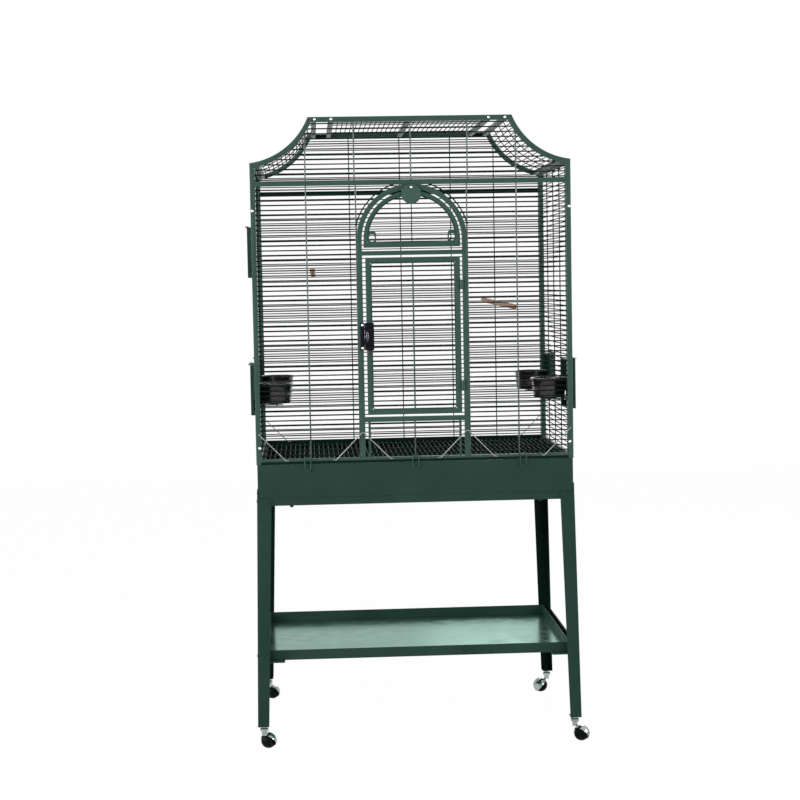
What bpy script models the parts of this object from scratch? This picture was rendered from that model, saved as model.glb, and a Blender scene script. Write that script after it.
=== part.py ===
"""Bird flight cage on a rolling stand.

Metres, +Z up, +X to the right and -Y to the front of the cage.
The origin is on the floor under the middle of the cage.
"""
import math

import bmesh
import bpy
from mathutils import Matrix, Vector
from mathutils.geometry import tessellate_polygon

# Overall sizes of the cage body
CAGE_WIDTH = 0.813
CAGE_DEPTH = 0.533
BASE_BOTTOM = 0.651
BASE_HEIGHT = 0.085
SHOULDER_HEIGHT = 1.500
CURVE_RADIUS = 0.185
CURVE_START = math.radians(7.0)
CURVE_END = math.radians(67.6)
CURVE_STEPS = 8

# Tube, wire and sheet
TUBE = 0.0127
WIRE = 0.0025
EDGE_WIRE = 0.0035
PITCH = 0.0127
SHEET = 0.0015
GAP = 0.0003
EMBED = 0.0015

# Front frame and its doorway
FRONT_RAIL_HEIGHT = 0.0070
CROSSBAR_DROP = 0.0588
SURROUND_WIDTH = 0.280
ARCH_OVERLAP = 0.0015
ARCH_STEPS = 15
TRANSOM_DROP = 0.0393
TRANSOM_HEIGHT = 0.0112
SILL_RISE = 0.1040
FRONT_VERTICAL = 0.267
EDGE_OFFSET = 0.0035
ARCH_WIRE_OFFSET = 0.0095

# Main door
DOOR_GAP_LOCK = 0.0080
DOOR_GAP_HINGE = 0.0060
DOOR_GAP_END = 0.0055

# Half-round door
ARCH_DOOR_GAP = 0.0045
ARCH_DOOR_TUBE = 0.0100
ARCH_DOOR_BAR = 0.0130
ARCH_DOOR_LIFT = 0.0085
EAR_WIDTH = 0.0210
EAR_HEIGHT = 0.0300
EAR_HOLE_WIDTH = 0.0145
EAR_HOLE_HEIGHT = 0.0190
EAR_HOLE_CENTRE = 0.0115
EAR_THICKNESS = 0.0030
EAR_INSET = 0.0215

# Round latch plate above the half-round door
DISC_RADIUS = 0.0250
DISC_THICKNESS = 0.0020
DISC_DROP = 0.0175
DISC_PIVOT_DROP = 0.0072
RIVET_RADIUS = 0.0030
RIVET_HEIGHT = 0.0015
TONGUE_WIDTH = 0.0150
TONGUE_THICKNESS = 0.0015
TONGUE_DROP = 0.0100

# Hinge knuckles and pins
KNUCKLE_RADIUS = 0.0042
KNUCKLE_BORE = 0.0024
KNUCKLE_HEIGHT = 0.0120
PIN_RADIUS = 0.0020
PIN_HEAD_RADIUS = 0.0034
PIN_HEAD_HEIGHT = 0.0020
HINGE_END_DISTANCE = 0.060
LEAF_LENGTH = 0.0115
LEAF_THICKNESS = 0.0020
HINGE_SEGMENTS = 10

# Lock
LOCK_RISE = 0.0004
LOCK_HEIGHT = 0.0692
LOCK_DEPTH = 0.0180
LOCK_CASE_WIDTH = 0.0232
LOCK_KEEPER_WIDTH = 0.0103
LOCK_SHOULDER = 0.0110
LOCK_STEP = 0.0060
LOCK_SPLIT = 0.0054
KNOB_LENGTH = 0.0320
KNOB_WIDTH = 0.0090
KNOB_DEPTH = 0.0110
KNOB_OFFSET = 0.0065
KNOB_BOSS_RADIUS = 0.0045
CAM_DEPTH = 0.0080
CAM_THICKNESS = 0.0030
CAM_LENGTH = 0.0150

# Back, side, top and curved panels
BACK_ROW_DROP = 0.0019
SIDE_VERTICAL = 0.114
TOP_BAR_SPACING = 0.0430
CURVE_BAR_SETBACK = 0.0118
CURVE_END_BAR = 0.0060

# Feeder hatches
HATCH_WIDTH = 0.125
HATCH_HEIGHT = 0.128
HATCH_DEPTH = 0.0110
HATCH_LOW_RISE = 0.1258
HATCH_HIGH_DROP = 0.2876
HATCH_OFFSET = 0.179
HATCH_WALL = 0.0025
HATCH_FLANGE = 0.0080
HATCH_FLANGE_THICKNESS = 0.0018
HATCH_SLIDE_GAP = 0.0005
HATCH_SILL = 0.0215
HATCH_SILL_HEIGHT = 0.0045
HATCH_TOP_CLEARANCE = 0.0060
SLOT_LENGTH = 0.026
SLOT_WIDTH = 0.004
SLOT_RISE = 0.012
LIP_LENGTH = 0.0070
LIP_RISE = 0.0020

# Cups and their rests
CUP_RADIUS = 0.0450
CUP_FOOT_RADIUS = 0.0400
CUP_HEIGHT = 0.0520
CUP_WALL = 0.0022
CUP_RIM = 0.0035
CUP_RIM_HEIGHT = 0.0040
CUP_INSET = 0.0495
CUP_SEGMENTS = 18
PRONG_LENGTH = 0.062
PRONG_SPACING = 0.028
PRONG_WIDTH = 0.004

# Perches
PERCH_RADIUS = 0.0066
PERCH_SEGMENTS = 10
PERCH_NOTCH = 0.0030
PERCH_LEFT_FRONT = (-0.2540, 0.2122)
PERCH_LEFT_BACK = (-0.2500, 0.2249)
PERCH_RIGHT_FRONT = (0.2610, 0.3142)
PERCH_RIGHT_BACK = (0.2310, 0.3015)

# Base, tray and floor grate
BASE_FLANGE_TOP = 0.0200
BASE_FLANGE_BOTTOM = 0.0290
BASE_INSET = 0.0020
GRATE_BAR = 0.0060
GRATE_SIDE_GAP = 0.0006
GRATE_CROSS_BARS = 4
TRAY_SIDE_GAP = 0.0140
TRAY_WALL_HEIGHT = 0.0450
TRAY_BACK_GAP = 0.0060
FASCIA_HEM = 0.0100
PULL_WIDTH = 0.0180
PULL_DROP = 0.0185
PULL_HEIGHT = 0.0370
PULL_WIRE = 0.0030
PULL_SPACING = 0.2760
PULL_STANDOFF = 0.0015

# Stays between the panels and the base
STAY_ROD = 0.0030
STAY_HEIGHT = 0.0700
STAY_FOOT = 0.0080
STAY_STANDOFF = 0.0020
STAY_SPREAD = 0.0690

# Stand
LEG_BOTTOM = 0.0620
LEG_OVERLAP = 0.0220
LEG_WIDTH_TOP = 0.0370
LEG_WIDTH_BOTTOM = 0.0290
LEG_SPLAY = 0.0115
FOOT_THICKNESS = 0.0025
STEM_RADIUS = 0.0045
STEM_HEIGHT = 0.0150
NUT_RADIUS = 0.0080
NUT_HEIGHT = 0.0045
RAIL_HEIGHT = 0.0200
RAIL_FLANGE = 0.0250
SHELF_FLOOR = 0.2300
SHELF_LIP = 0.0260
SHELF_HALF_WIDTH = 0.3930
SHELF_INSET = 0.0100
SUPPORT_WIDTH = 0.0430
SUPPORT_HEIGHT = 0.0200
SUPPORT_THICKNESS = 0.0030

# Ball casters
BALL_RADIUS = 0.0195
BALL_FLAT = 0.0150
CASTER_TRAIL = 0.0180
CASTER_INSET = 0.0155
HOOD_GAP = 0.0012
HOOD_WALL = 0.0016
HOOD_TILT = math.radians(40.0)
HUB_RADIUS = 0.0110
HUB_HEIGHT = 0.0080
BALL_SEGMENTS = 12
BALL_RINGS = 4
CASTER_TURNS = {
    "front_left": math.radians(56.0),
    "front_right": math.radians(-30.0),
    "back_left": math.radians(57.0),
    "back_right": math.radians(180.0),
}

# Heights and planes that follow from the sizes above
HALF_WIDTH = CAGE_WIDTH / 2
HALF_DEPTH = CAGE_DEPTH / 2
FRONT = -HALF_DEPTH
BACK = HALF_DEPTH
BASE_TOP = BASE_BOTTOM + BASE_HEIGHT
PANEL_BOTTOM = BASE_TOP + GAP
RAIL_TOP = PANEL_BOTTOM + TUBE
GRATE_BOTTOM = BASE_TOP + 2 * GAP
GRATE_TOP = GRATE_BOTTOM + 2 * WIRE + 3 * GAP
FRONT_RAIL_BOTTOM = GRATE_TOP + 1.5 * GAP
FRONT_RAIL_TOP = FRONT_RAIL_BOTTOM + FRONT_RAIL_HEIGHT
CROSSBAR_BOTTOM = SHOULDER_HEIGHT - CROSSBAR_DROP
CROSSBAR_TOP = CROSSBAR_BOTTOM + TUBE
CURVE_X = HALF_WIDTH + CURVE_RADIUS * math.sin(CURVE_START)
CURVE_Z = SHOULDER_HEIGHT + CURVE_RADIUS * math.cos(CURVE_START)
TOP = CURVE_Z - CURVE_RADIUS * math.cos(CURVE_END)
CURVE_MIDDLE = CURVE_RADIUS + TUBE / 2
CURVE_HEAD_X = CURVE_X - math.sqrt(CURVE_MIDDLE ** 2 - (CURVE_Z - TOP + TUBE / 2) ** 2)
CURVE_BAR_CENTRE = CURVE_HEAD_X - CURVE_BAR_SETBACK
TOP_BAR_CENTRE = CURVE_BAR_CENTRE - TOP_BAR_SPACING
SURROUND = SURROUND_WIDTH / 2
SURROUND_INNER = SURROUND - TUBE
ARCH_SPRING = CROSSBAR_BOTTOM + ARCH_OVERLAP - SURROUND
TRANSOM_BOTTOM = ARCH_SPRING - TRANSOM_DROP
TRANSOM_TOP = TRANSOM_BOTTOM + TRANSOM_HEIGHT
SILL_BOTTOM = BASE_TOP + SILL_RISE
SILL_TOP = SILL_BOTTOM + TUBE
DOOR_LEFT = -SURROUND_INNER + DOOR_GAP_LOCK
DOOR_RIGHT = SURROUND_INNER - DOOR_GAP_HINGE
DOOR_BOTTOM = SILL_TOP + DOOR_GAP_END
DOOR_TOP = TRANSOM_BOTTOM - DOOR_GAP_END
HINGE_X = SURROUND_INNER - DOOR_GAP_HINGE / 2
HINGE_Y = FRONT - KNUCKLE_RADIUS - 2 * GAP
ARCH_DOOR_HALF = SURROUND_INNER - ARCH_DOOR_GAP
ARCH_DOOR_BOTTOM = TRANSOM_TOP + ARCH_DOOR_LIFT
ARCH_AXIS_Z = ARCH_DOOR_BOTTOM + ARCH_DOOR_BAR / 2
FRAME_MIDDLE_Y = FRONT + TUBE / 2
INNER_HALF_DEPTH = HALF_DEPTH - TUBE - GAP
PANEL_MIDDLE_X = HALF_WIDTH - TUBE / 2
LAYER = WIRE + GAP
DISC_PIVOT_Z = CROSSBAR_BOTTOM - DISC_PIVOT_DROP
HATCH_LOW_BOTTOM = BASE_TOP + HATCH_LOW_RISE
HATCH_HIGH_BOTTOM = SHOULDER_HEIGHT - HATCH_HIGH_DROP
PULL_BOTTOM = BASE_TOP - PULL_DROP
PULL_TOP = PULL_BOTTOM + PULL_HEIGHT


def clear_scene():
    for old in list(bpy.data.objects):
        bpy.data.objects.remove(old, do_unlink=True)


def make_material(name, colour, roughness, metallic=0.0):
    material = bpy.data.materials.new(name)
    material.use_nodes = True
    shader = material.node_tree.nodes["Principled BSDF"]
    shader.inputs["Base Color"].default_value = (*colour, 1.0)
    shader.inputs["Roughness"].default_value = roughness
    shader.inputs["Metallic"].default_value = metallic
    return material


def finish_mesh(name, shape, material, origin=(0.0, 0.0, 0.0), smooth=False):
    """Turn a bmesh in world coordinates into an object with the given origin."""
    bmesh.ops.recalc_face_normals(shape, faces=shape.faces[:])
    mesh = bpy.data.meshes.new(name)
    shape.to_mesh(mesh)
    shape.free()
    mesh.transform(Matrix.Translation(-Vector(origin)))
    if smooth:
        mesh.shade_smooth()
        mesh.set_sharp_from_angle(angle=math.radians(30.0))
    mesh.materials.append(material)
    thing = bpy.data.objects.new(name, mesh)
    thing.location = origin
    bpy.context.collection.objects.link(thing)
    return thing


def add_helper(owner, shape, operation, label):
    """Join to or cut from the owner with a hidden helper shape."""
    helper_name = f"{owner.name}.{label}"
    helper = finish_mesh(helper_name, shape, owner.data.materials[0])
    helper.hide_render = True
    helper.display_type = "WIRE"
    boolean = owner.modifiers.new(label, "BOOLEAN")
    boolean.operation = operation
    boolean.solver = "EXACT"
    boolean.object = helper


def join(owner, shape, label):
    add_helper(owner, shape, "UNION", label)


def cut(owner, shape, label):
    add_helper(owner, shape, "DIFFERENCE", label)


def tidy_faces():
    """Merge the coplanar faces that joining and cutting leave behind."""
    for thing in bpy.data.objects:
        if thing.modifiers:
            tidy = thing.modifiers.new("tidy", "DECIMATE")
            tidy.decimate_type = "DISSOLVE"
            tidy.angle_limit = math.radians(0.1)


def spread(axis, u, v, t):
    """Place a point of a flat outline in the plane that faces the axis."""
    return {"X": (t, u, v), "Y": (u, t, v), "Z": (u, v, t)}[axis]


def add_prism(shape, axis, outline, low, high, holes=()):
    """Extrude a flat outline, with holes, between two planes."""
    loops = [list(outline)] + [list(hole) for hole in holes]
    flat = [[Vector((u, v, 0.0)) for u, v in loop] for loop in loops]
    rings = []
    for t in (low, high):
        rings.append([[shape.verts.new(spread(axis, u, v, t)) for u, v in loop] for loop in loops])
    for ring in rings:
        corners = [vertex for loop in ring for vertex in loop]
        for triangle in tessellate_polygon(flat):
            shape.faces.new([corners[index] for index in triangle])
    for near, far in zip(*rings):
        for index in range(len(near)):
            following = (index + 1) % len(near)
            shape.faces.new((near[index], near[following], far[following], far[index]))
    return shape


def add_box(shape, low, high):
    outline = [(low[0], low[1]), (high[0], low[1]), (high[0], high[1]), (low[0], high[1])]
    return add_prism(shape, "Z", outline, low[2], high[2])


def rectangle(left, right, bottom, top):
    return [(left, bottom), (right, bottom), (right, top), (left, top)]


def add_hexahedron(shape, bottom, top):
    """A tapered bar between two rings of matching points."""
    low = [shape.verts.new(point) for point in bottom]
    high = [shape.verts.new(point) for point in top]
    shape.faces.new(low)
    shape.faces.new(list(reversed(high)))
    for index in range(len(low)):
        following = (index + 1) % len(low)
        shape.faces.new((low[index], low[following], high[following], high[index]))
    return shape


def add_wire(shape, axis, start, end, middle):
    """A straight three-sided wire along an axis; middle is its (u, v) place."""
    u, v = middle
    half = WIRE / 2
    corners = [(u - half, v - half), (u + half, v - half), (u, v + half)]
    if axis == "X":
        corners = [(u + half, v - half), (u + half, v + half), (u - half, v)]
    return add_prism(shape, axis, corners, start, end)


def add_swept_bar(shape, points, half_across, half_deep, closed=False):
    """A flat bar along a path in the XZ plane: (x, z) points, y middle first."""
    middle, path = points
    count = len(path)
    rings = []
    for index, (x, z) in enumerate(path):
        before = path[index - 1] if closed or index > 0 else path[index]
        after = path[(index + 1) % count] if closed or index < count - 1 else path[index]
        leg_in = Vector((x - before[0], z - before[1]))
        leg_out = Vector((after[0] - x, after[1] - z))
        ends = [leg.normalized() for leg in (leg_in, leg_out) if leg.length > 0.0]
        run = (ends[0] + ends[-1]).normalized()
        stretch = 1.0 / max(0.5, run.dot(ends[0]))
        across = Vector((-run.y, run.x)) * half_across * stretch
        rings.append([
            shape.verts.new((x + across.x, middle - half_deep, z + across.y)),
            shape.verts.new((x + across.x, middle + half_deep, z + across.y)),
            shape.verts.new((x - across.x, middle + half_deep, z - across.y)),
            shape.verts.new((x - across.x, middle - half_deep, z - across.y)),
        ])
    pairs = list(zip(rings, rings[1:]))
    if closed:
        pairs.append((rings[-1], rings[0]))
    else:
        shape.faces.new(rings[0])
        shape.faces.new(list(reversed(rings[-1])))
    for one, two in pairs:
        for index in range(4):
            following = (index + 1) % 4
            shape.faces.new((one[index], one[following], two[following], two[index]))
    return shape


def add_turned(shape, profile, segments, place=Matrix.Identity(4)):
    """Turn (radius, height) points round Z; a radius of zero closes an end."""
    rings = []
    for radius, height in profile:
        if radius == 0.0:
            rings.append([shape.verts.new(place @ Vector((0, 0, height)))])
            continue
        ring = []
        for index in range(segments):
            angle = 2 * math.pi * index / segments
            point = Vector((radius * math.cos(angle), radius * math.sin(angle), height))
            ring.append(shape.verts.new(place @ point))
        rings.append(ring)
    closed = profile[0][0] != 0.0 and profile[-1][0] != 0.0
    pairs = list(zip(rings, rings[1:])) + ([(rings[-1], rings[0])] if closed else [])
    for one, two in pairs:
        for index in range(segments):
            following = (index + 1) % segments
            if len(one) == 1:
                shape.faces.new((one[0], two[following], two[index]))
            elif len(two) == 1:
                shape.faces.new((one[index], one[following], two[0]))
            else:
                shape.faces.new((one[index], one[following], two[following], two[index]))
    return shape


def disc_profile(radius, low, high):
    return [(0.0, high), (radius, high), (radius, low), (0.0, low)]


def arc(centre_x, centre_z, radius, start, end, steps):
    """Points of an arc; the angle runs from +X towards +Z."""
    points = []
    for index in range(steps + 1):
        angle = start + (end - start) * index / steps
        points.append((centre_x + radius * math.cos(angle), centre_z + radius * math.sin(angle)))
    return points


def curve_points(radius, side, start=CURVE_START, end=CURVE_END):
    """The inward curve from the shoulder to the top, at a radius from its centre."""
    points = arc(CURVE_X, CURVE_Z, radius, -math.pi / 2 - start, -math.pi / 2 - end, CURVE_STEPS)
    return [(side * x, z) for x, z in points]


def curve_angle_at_x(radius, x):
    return math.asin((CURVE_X - x) / radius)


def curve_angle_at_z(radius, z):
    return math.acos((CURVE_Z - z) / radius)


def rows(low, high, start):
    """Heights of the wires between two limits, on one pitch from the start."""
    clearance = WIRE
    first = math.ceil((low + clearance - start) / PITCH)
    last = math.floor((high - clearance - start) / PITCH)
    return [start + PITCH * index for index in range(first, last + 1)]


FIRST_ROW = RAIL_TOP + PITCH * 0.75


def outer_outline():
    """The silhouette of the front and back frames, from the bottom left corner."""
    right = curve_points(CURVE_RADIUS, 1)
    left = list(reversed(curve_points(CURVE_RADIUS, -1)))
    return [(-HALF_WIDTH, PANEL_BOTTOM), (HALF_WIDTH, PANEL_BOTTOM)] + right + left


def front_outline():
    """The front silhouette: the rail stands clear of the grate between the posts."""
    post = HALF_WIDTH - TUBE
    foot = [(-post, PANEL_BOTTOM), (-post, FRONT_RAIL_BOTTOM),
            (post, FRONT_RAIL_BOTTOM), (post, PANEL_BOTTOM)]
    outline = outer_outline()
    return outline[:1] + foot + outline[1:]


def head_window(bottom):
    """The opening above a crossbar, inside the posts, curves and top rail."""
    inner = CURVE_RADIUS + TUBE
    start = curve_angle_at_x(inner, HALF_WIDTH - TUBE)
    end = curve_angle_at_z(inner, TOP - TUBE)
    right = curve_points(inner, 1, start, end)
    left = list(reversed(curve_points(inner, -1, start, end)))
    post = HALF_WIDTH - TUBE
    return [(-post, bottom), (post, bottom)] + right + left


def head_half_width(z, allowance):
    """Half the width of the head window at a height, kept off the curve."""
    post = HALF_WIDTH - TUBE
    radius = CURVE_RADIUS + TUBE + allowance
    if CURVE_Z - z >= radius:
        return post
    return min(post, CURVE_X - math.sqrt(radius ** 2 - (CURVE_Z - z) ** 2))


def arch_crossing(radius, z):
    """Half the width of an arch of the surround at a height."""
    if z <= ARCH_SPRING:
        return radius
    rise = z - ARCH_SPRING
    return math.sqrt(max(0.0, radius ** 2 - rise ** 2))


def side_window():
    """The opening of the front frame left of the doorway; the right one mirrors it."""
    end = math.pi - math.asin((CROSSBAR_BOTTOM - ARCH_SPRING) / SURROUND)
    curve = arc(0.0, ARCH_SPRING, SURROUND, math.pi, end, ARCH_STEPS // 2)
    left = -HALF_WIDTH + TUBE
    return [(left, FRONT_RAIL_TOP), (-SURROUND, FRONT_RAIL_TOP)] + curve + [(left, CROSSBAR_BOTTOM)]


def mirrored(outline):
    return [(-x, z) for x, z in reversed(outline)]


def arch_window(half, bottom):
    """A half-round opening or outline with a straight foot."""
    return [(-half, bottom), (half, bottom)] + arc(0.0, ARCH_SPRING, half, 0.0, math.pi, ARCH_STEPS)


def knuckle(shape, bottom, height):
    place = Matrix.Translation((HINGE_X, HINGE_Y, bottom))
    ring = [(KNUCKLE_RADIUS, height), (KNUCKLE_RADIUS, 0.0), (KNUCKLE_BORE, 0.0), (KNUCKLE_BORE, height)]
    return add_turned(shape, ring, HINGE_SEGMENTS, place)


def hinge_heights():
    """The bottom of each hinge's lower knuckle."""
    return (DOOR_BOTTOM + HINGE_END_DISTANCE, DOOR_TOP - HINGE_END_DISTANCE - 2 * KNUCKLE_HEIGHT)


def leaf_box(side, bottom):
    """A hinge leaf that joins a knuckle to the post (+1) or to the door (-1)."""
    near = HINGE_X + side * (KNUCKLE_BORE + GAP)
    far = HINGE_X + side * LEAF_LENGTH
    low_x, high_x = sorted((near, far))
    return ((low_x, FRONT - LEAF_THICKNESS, bottom), (high_x, FRONT + EMBED, bottom + KNUCKLE_HEIGHT))


def make_front_frame(paint):
    doorway = rectangle(-SURROUND_INNER, SURROUND_INNER, SILL_TOP, TRANSOM_BOTTOM)
    below = rectangle(-SURROUND_INNER, SURROUND_INNER, FRONT_RAIL_TOP, SILL_BOTTOM)
    arch_opening = arch_window(SURROUND_INNER, TRANSOM_TOP)
    windows = {"left_side": side_window(), "right_side": mirrored(side_window()), "doorway": doorway,
               "below": below, "arch": arch_opening, "head": head_window(CROSSBAR_TOP)}
    shape = add_prism(bmesh.new(), "Y", front_outline(), FRONT, FRONT + TUBE)
    frame = finish_mesh("front_frame", shape, paint)
    for label, window in windows.items():
        cut(frame, add_prism(bmesh.new(), "Y", window, FRONT - TUBE, FRONT + 2 * TUBE), label)
    for index, bottom in enumerate(hinge_heights()):
        join(frame, add_box(bmesh.new(), *leaf_box(1, bottom)), f"leaf_{index}")
        join(frame, knuckle(bmesh.new(), bottom, KNUCKLE_HEIGHT), f"knuckle_{index}")
    return frame


def add_row_wire(shape, left, right, z, middle):
    return add_wire(shape, "X", left, right, (middle, z))


def add_vertical_wire(shape, x, bottom, top, middle):
    return add_wire(shape, "Z", bottom, top, (x, middle))


MAT_ROW_Y = FRAME_MIDDLE_Y + LAYER / 2
MAT_VERTICAL_Y = FRAME_MIDDLE_Y - LAYER / 2
MAT_HALF_DEEP = (LAYER + WIRE) / 2 + GAP


def make_front_mat(side, paint):
    """The wire mat between a corner post and the doorway, with its own edge wire."""
    name = "front_wires_left" if side < 0 else "front_wires_right"
    half = EDGE_WIRE / 2
    post = HALF_WIDTH - TUBE - GAP - half
    bottom = FRONT_RAIL_TOP + GAP + half
    top = CROSSBAR_BOTTOM - GAP - half
    edge = SURROUND + EDGE_OFFSET
    arch = SURROUND + ARCH_WIRE_OFFSET
    start = math.acos(edge / arch)
    end = math.asin((top - ARCH_SPRING) / arch)
    curve = arc(0.0, ARCH_SPRING, arch, start, end, ARCH_STEPS // 2)
    outline = [(post, bottom), (post, top)] + list(reversed(curve)) + [(edge, bottom)]
    path = [(side * x, z) for x, z in outline]
    edge_bar = add_swept_bar(bmesh.new(), (FRAME_MIDDLE_Y, path), half, MAT_HALF_DEEP, closed=True)
    mat = finish_mesh(name, edge_bar, paint)
    wires = bmesh.new()
    for z in rows(bottom, top, FIRST_ROW):
        inner = min(edge, arch_crossing(arch, z))
        ends = sorted((side * post, side * inner))
        add_row_wire(wires, ends[0], ends[1], z, MAT_ROW_Y)
    add_vertical_wire(wires, side * FRONT_VERTICAL, bottom, top, MAT_VERTICAL_Y)
    add_vertical_wire(wires, side * edge, curve[0][1] - EDGE_WIRE, top, MAT_VERTICAL_Y)
    join(mat, wires, "wires")
    return mat


def make_head_mat(paint):
    """The wire mat above the crossbar of the front frame."""
    half = EDGE_WIRE / 2
    inset = GAP + half
    post = HALF_WIDTH - TUBE - inset
    radius = CURVE_RADIUS + TUBE + inset
    bottom = CROSSBAR_TOP + inset
    top = TOP - TUBE - inset
    start = curve_angle_at_x(radius, post)
    end = curve_angle_at_z(radius, top)
    right = curve_points(radius, 1, start, end)
    left = list(reversed(curve_points(radius, -1, start, end)))
    path = [(-post, bottom), (post, bottom)] + right + left
    edge_bar = add_swept_bar(bmesh.new(), (FRAME_MIDDLE_Y, path), half, MAT_HALF_DEEP, closed=True)
    mat = finish_mesh("front_wires_head", edge_bar, paint)
    wires = bmesh.new()
    for z in rows(bottom, top, FIRST_ROW):
        reach = head_half_width(z, inset)
        add_row_wire(wires, -min(reach, post), min(reach, post), z, MAT_ROW_Y)
    for x in (-FRONT_VERTICAL, -SURROUND - EDGE_OFFSET, 0.0, SURROUND + EDGE_OFFSET, FRONT_VERTICAL):
        height = top
        if abs(x) > CURVE_X - radius * math.sin(end):
            angle = curve_angle_at_x(radius, abs(x))
            height = CURVE_Z - radius * math.cos(angle)
        add_vertical_wire(wires, x, bottom, height, MAT_VERTICAL_Y)
    join(mat, wires, "wires")
    return mat


def make_filler_mat(paint):
    """The short ladder of wires below the main door."""
    bar = GRATE_BAR / 2
    outer = SURROUND_INNER - DOOR_GAP_LOCK - bar
    bottom = FRONT_RAIL_TOP + GAP + EDGE_WIRE / 2
    top = SILL_BOTTOM - GAP - EDGE_WIRE / 2
    path = [(-outer, bottom), (outer, bottom), (outer, top), (-outer, top)]
    edge_bar = add_swept_bar(bmesh.new(), (FRAME_MIDDLE_Y, path), EDGE_WIRE / 2, MAT_HALF_DEEP, closed=True)
    mat = finish_mesh("front_wires_below_door", edge_bar, paint)
    wires = bmesh.new()
    for z in rows(bottom, top, FIRST_ROW):
        add_row_wire(wires, -outer, outer, z, MAT_ROW_Y)
    add_vertical_wire(wires, 0.0, bottom, top, MAT_VERTICAL_Y)
    join(mat, wires, "wires")
    return mat


def make_main_door(paint):
    outline = rectangle(DOOR_LEFT, DOOR_RIGHT, DOOR_BOTTOM, DOOR_TOP)
    inside = rectangle(DOOR_LEFT + TUBE, DOOR_RIGHT - TUBE, DOOR_BOTTOM + TUBE, DOOR_TOP - TUBE)
    shape = add_prism(bmesh.new(), "Y", outline, FRONT, FRONT + TUBE, [inside])
    hinge = (HINGE_X, HINGE_Y, DOOR_BOTTOM)
    door = finish_mesh("main_door", shape, paint, hinge)
    for index, bottom in enumerate(hinge_heights()):
        upper = bottom + KNUCKLE_HEIGHT + GAP
        join(door, add_box(bmesh.new(), *leaf_box(-1, upper)), f"leaf_{index}")
        join(door, knuckle(bmesh.new(), upper, KNUCKLE_HEIGHT), f"knuckle_{index}")
    wires = bmesh.new()
    inner_low = DOOR_BOTTOM + TUBE
    inner_high = DOOR_TOP - TUBE
    for z in rows(inner_low, inner_high, FIRST_ROW):
        left = DOOR_LEFT + TUBE - EMBED
        right = DOOR_RIGHT - TUBE + EMBED
        add_row_wire(wires, left, right, z, MAT_ROW_Y)
    middle = (DOOR_LEFT + DOOR_RIGHT) / 2
    add_vertical_wire(wires, middle, inner_low - EMBED, inner_high + EMBED, MAT_VERTICAL_Y)
    join(door, wires, "wires")
    return door


def make_hinge_pins(steel):
    pins = []
    for label, bottom in zip(("lower", "upper"), hinge_heights()):
        top = bottom + 2 * KNUCKLE_HEIGHT + 2 * GAP
        profile = [(0.0, PIN_HEAD_HEIGHT), (PIN_HEAD_RADIUS, PIN_HEAD_HEIGHT), (PIN_HEAD_RADIUS, 0.0),
                   (PIN_RADIUS, 0.0), (PIN_RADIUS, bottom - top), (0.0, bottom - top)]
        place = Matrix.Translation((HINGE_X, HINGE_Y, top))
        shape = add_turned(bmesh.new(), profile, HINGE_SEGMENTS, place)
        pins.append(finish_mesh(f"door_hinge_pin_{label}", shape, steel, smooth=True))
    return pins


def ear_outline(side):
    """A lug with a round top that stands on the half-round door's bottom bar."""
    centre = side * (ARCH_DOOR_HALF - EAR_INSET)
    foot = ARCH_DOOR_BOTTOM + ARCH_DOOR_BAR
    half = EAR_WIDTH / 2
    spring = foot + EAR_HEIGHT - half
    top = arc(centre, spring, half, 0.0, math.pi, 8)
    round_hole = arc(0.0, 0.0, 0.5, 0.0, 2 * math.pi * 15 / 16, 15)
    height = foot + EAR_HOLE_CENTRE
    hole = [(centre + EAR_HOLE_WIDTH * u, height + EAR_HOLE_HEIGHT * v) for u, v in round_hole]
    return [(centre - half, foot - EMBED), (centre + half, foot - EMBED)] + top, hole


def make_arch_door(paint):
    half = ARCH_DOOR_HALF
    outline = arch_window(half, ARCH_DOOR_BOTTOM)
    inside = arch_window(half - ARCH_DOOR_TUBE, ARCH_DOOR_BOTTOM + ARCH_DOOR_BAR)
    shape = add_prism(bmesh.new(), "Y", outline, FRONT, FRONT + TUBE, [inside])
    door = finish_mesh("arch_door", shape, paint, (0.0, FRAME_MIDDLE_Y, ARCH_AXIS_Z))
    wires = bmesh.new()
    bottom = ARCH_DOOR_BOTTOM + ARCH_DOOR_BAR
    top = ARCH_SPRING + half - ARCH_DOOR_TUBE
    for z in rows(bottom, top - PITCH / 2, FIRST_ROW):
        reach = arch_crossing(half - ARCH_DOOR_TUBE + EMBED, z - WIRE / 2)
        add_row_wire(wires, -reach, reach, z, MAT_ROW_Y)
    add_vertical_wire(wires, 0.0, bottom - EMBED, top + EMBED, MAT_VERTICAL_Y)
    join(door, wires, "wires")
    for side, label in ((-1, "left"), (1, "right")):
        ear, hole = ear_outline(side)
        lug = add_prism(bmesh.new(), "Y", ear, FRONT + EMBED / 2, FRONT + EMBED / 2 + EAR_THICKNESS, [hole])
        join(door, lug, f"ear_{label}")
        bore = add_turned(bmesh.new(), disc_profile(KNUCKLE_BORE, -LEAF_LENGTH, LEAF_LENGTH),
                          HINGE_SEGMENTS, arch_pin_place(side))
        cut(door, bore, f"bore_{label}")
    reach = TONGUE_WIDTH / 2
    low = ARCH_SPRING + half - TONGUE_DROP
    join(door, add_box(bmesh.new(), (-reach, TONGUE_FRONT, low), (reach, FRONT - GAP, TONGUE_TOP)), "tongue")
    pad_top = ARCH_SPRING + half - EMBED
    pad_low = (-reach + GAP, FRONT - 2 * GAP, low + GAP)
    pad = add_box(bmesh.new(), pad_low, (reach - GAP, FRONT + EMBED, pad_top))
    join(door, pad, "pad")
    return door


TONGUE_FRONT = FRONT - GAP - TONGUE_THICKNESS
TONGUE_TOP = DISC_PIVOT_Z + RIVET_RADIUS


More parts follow.
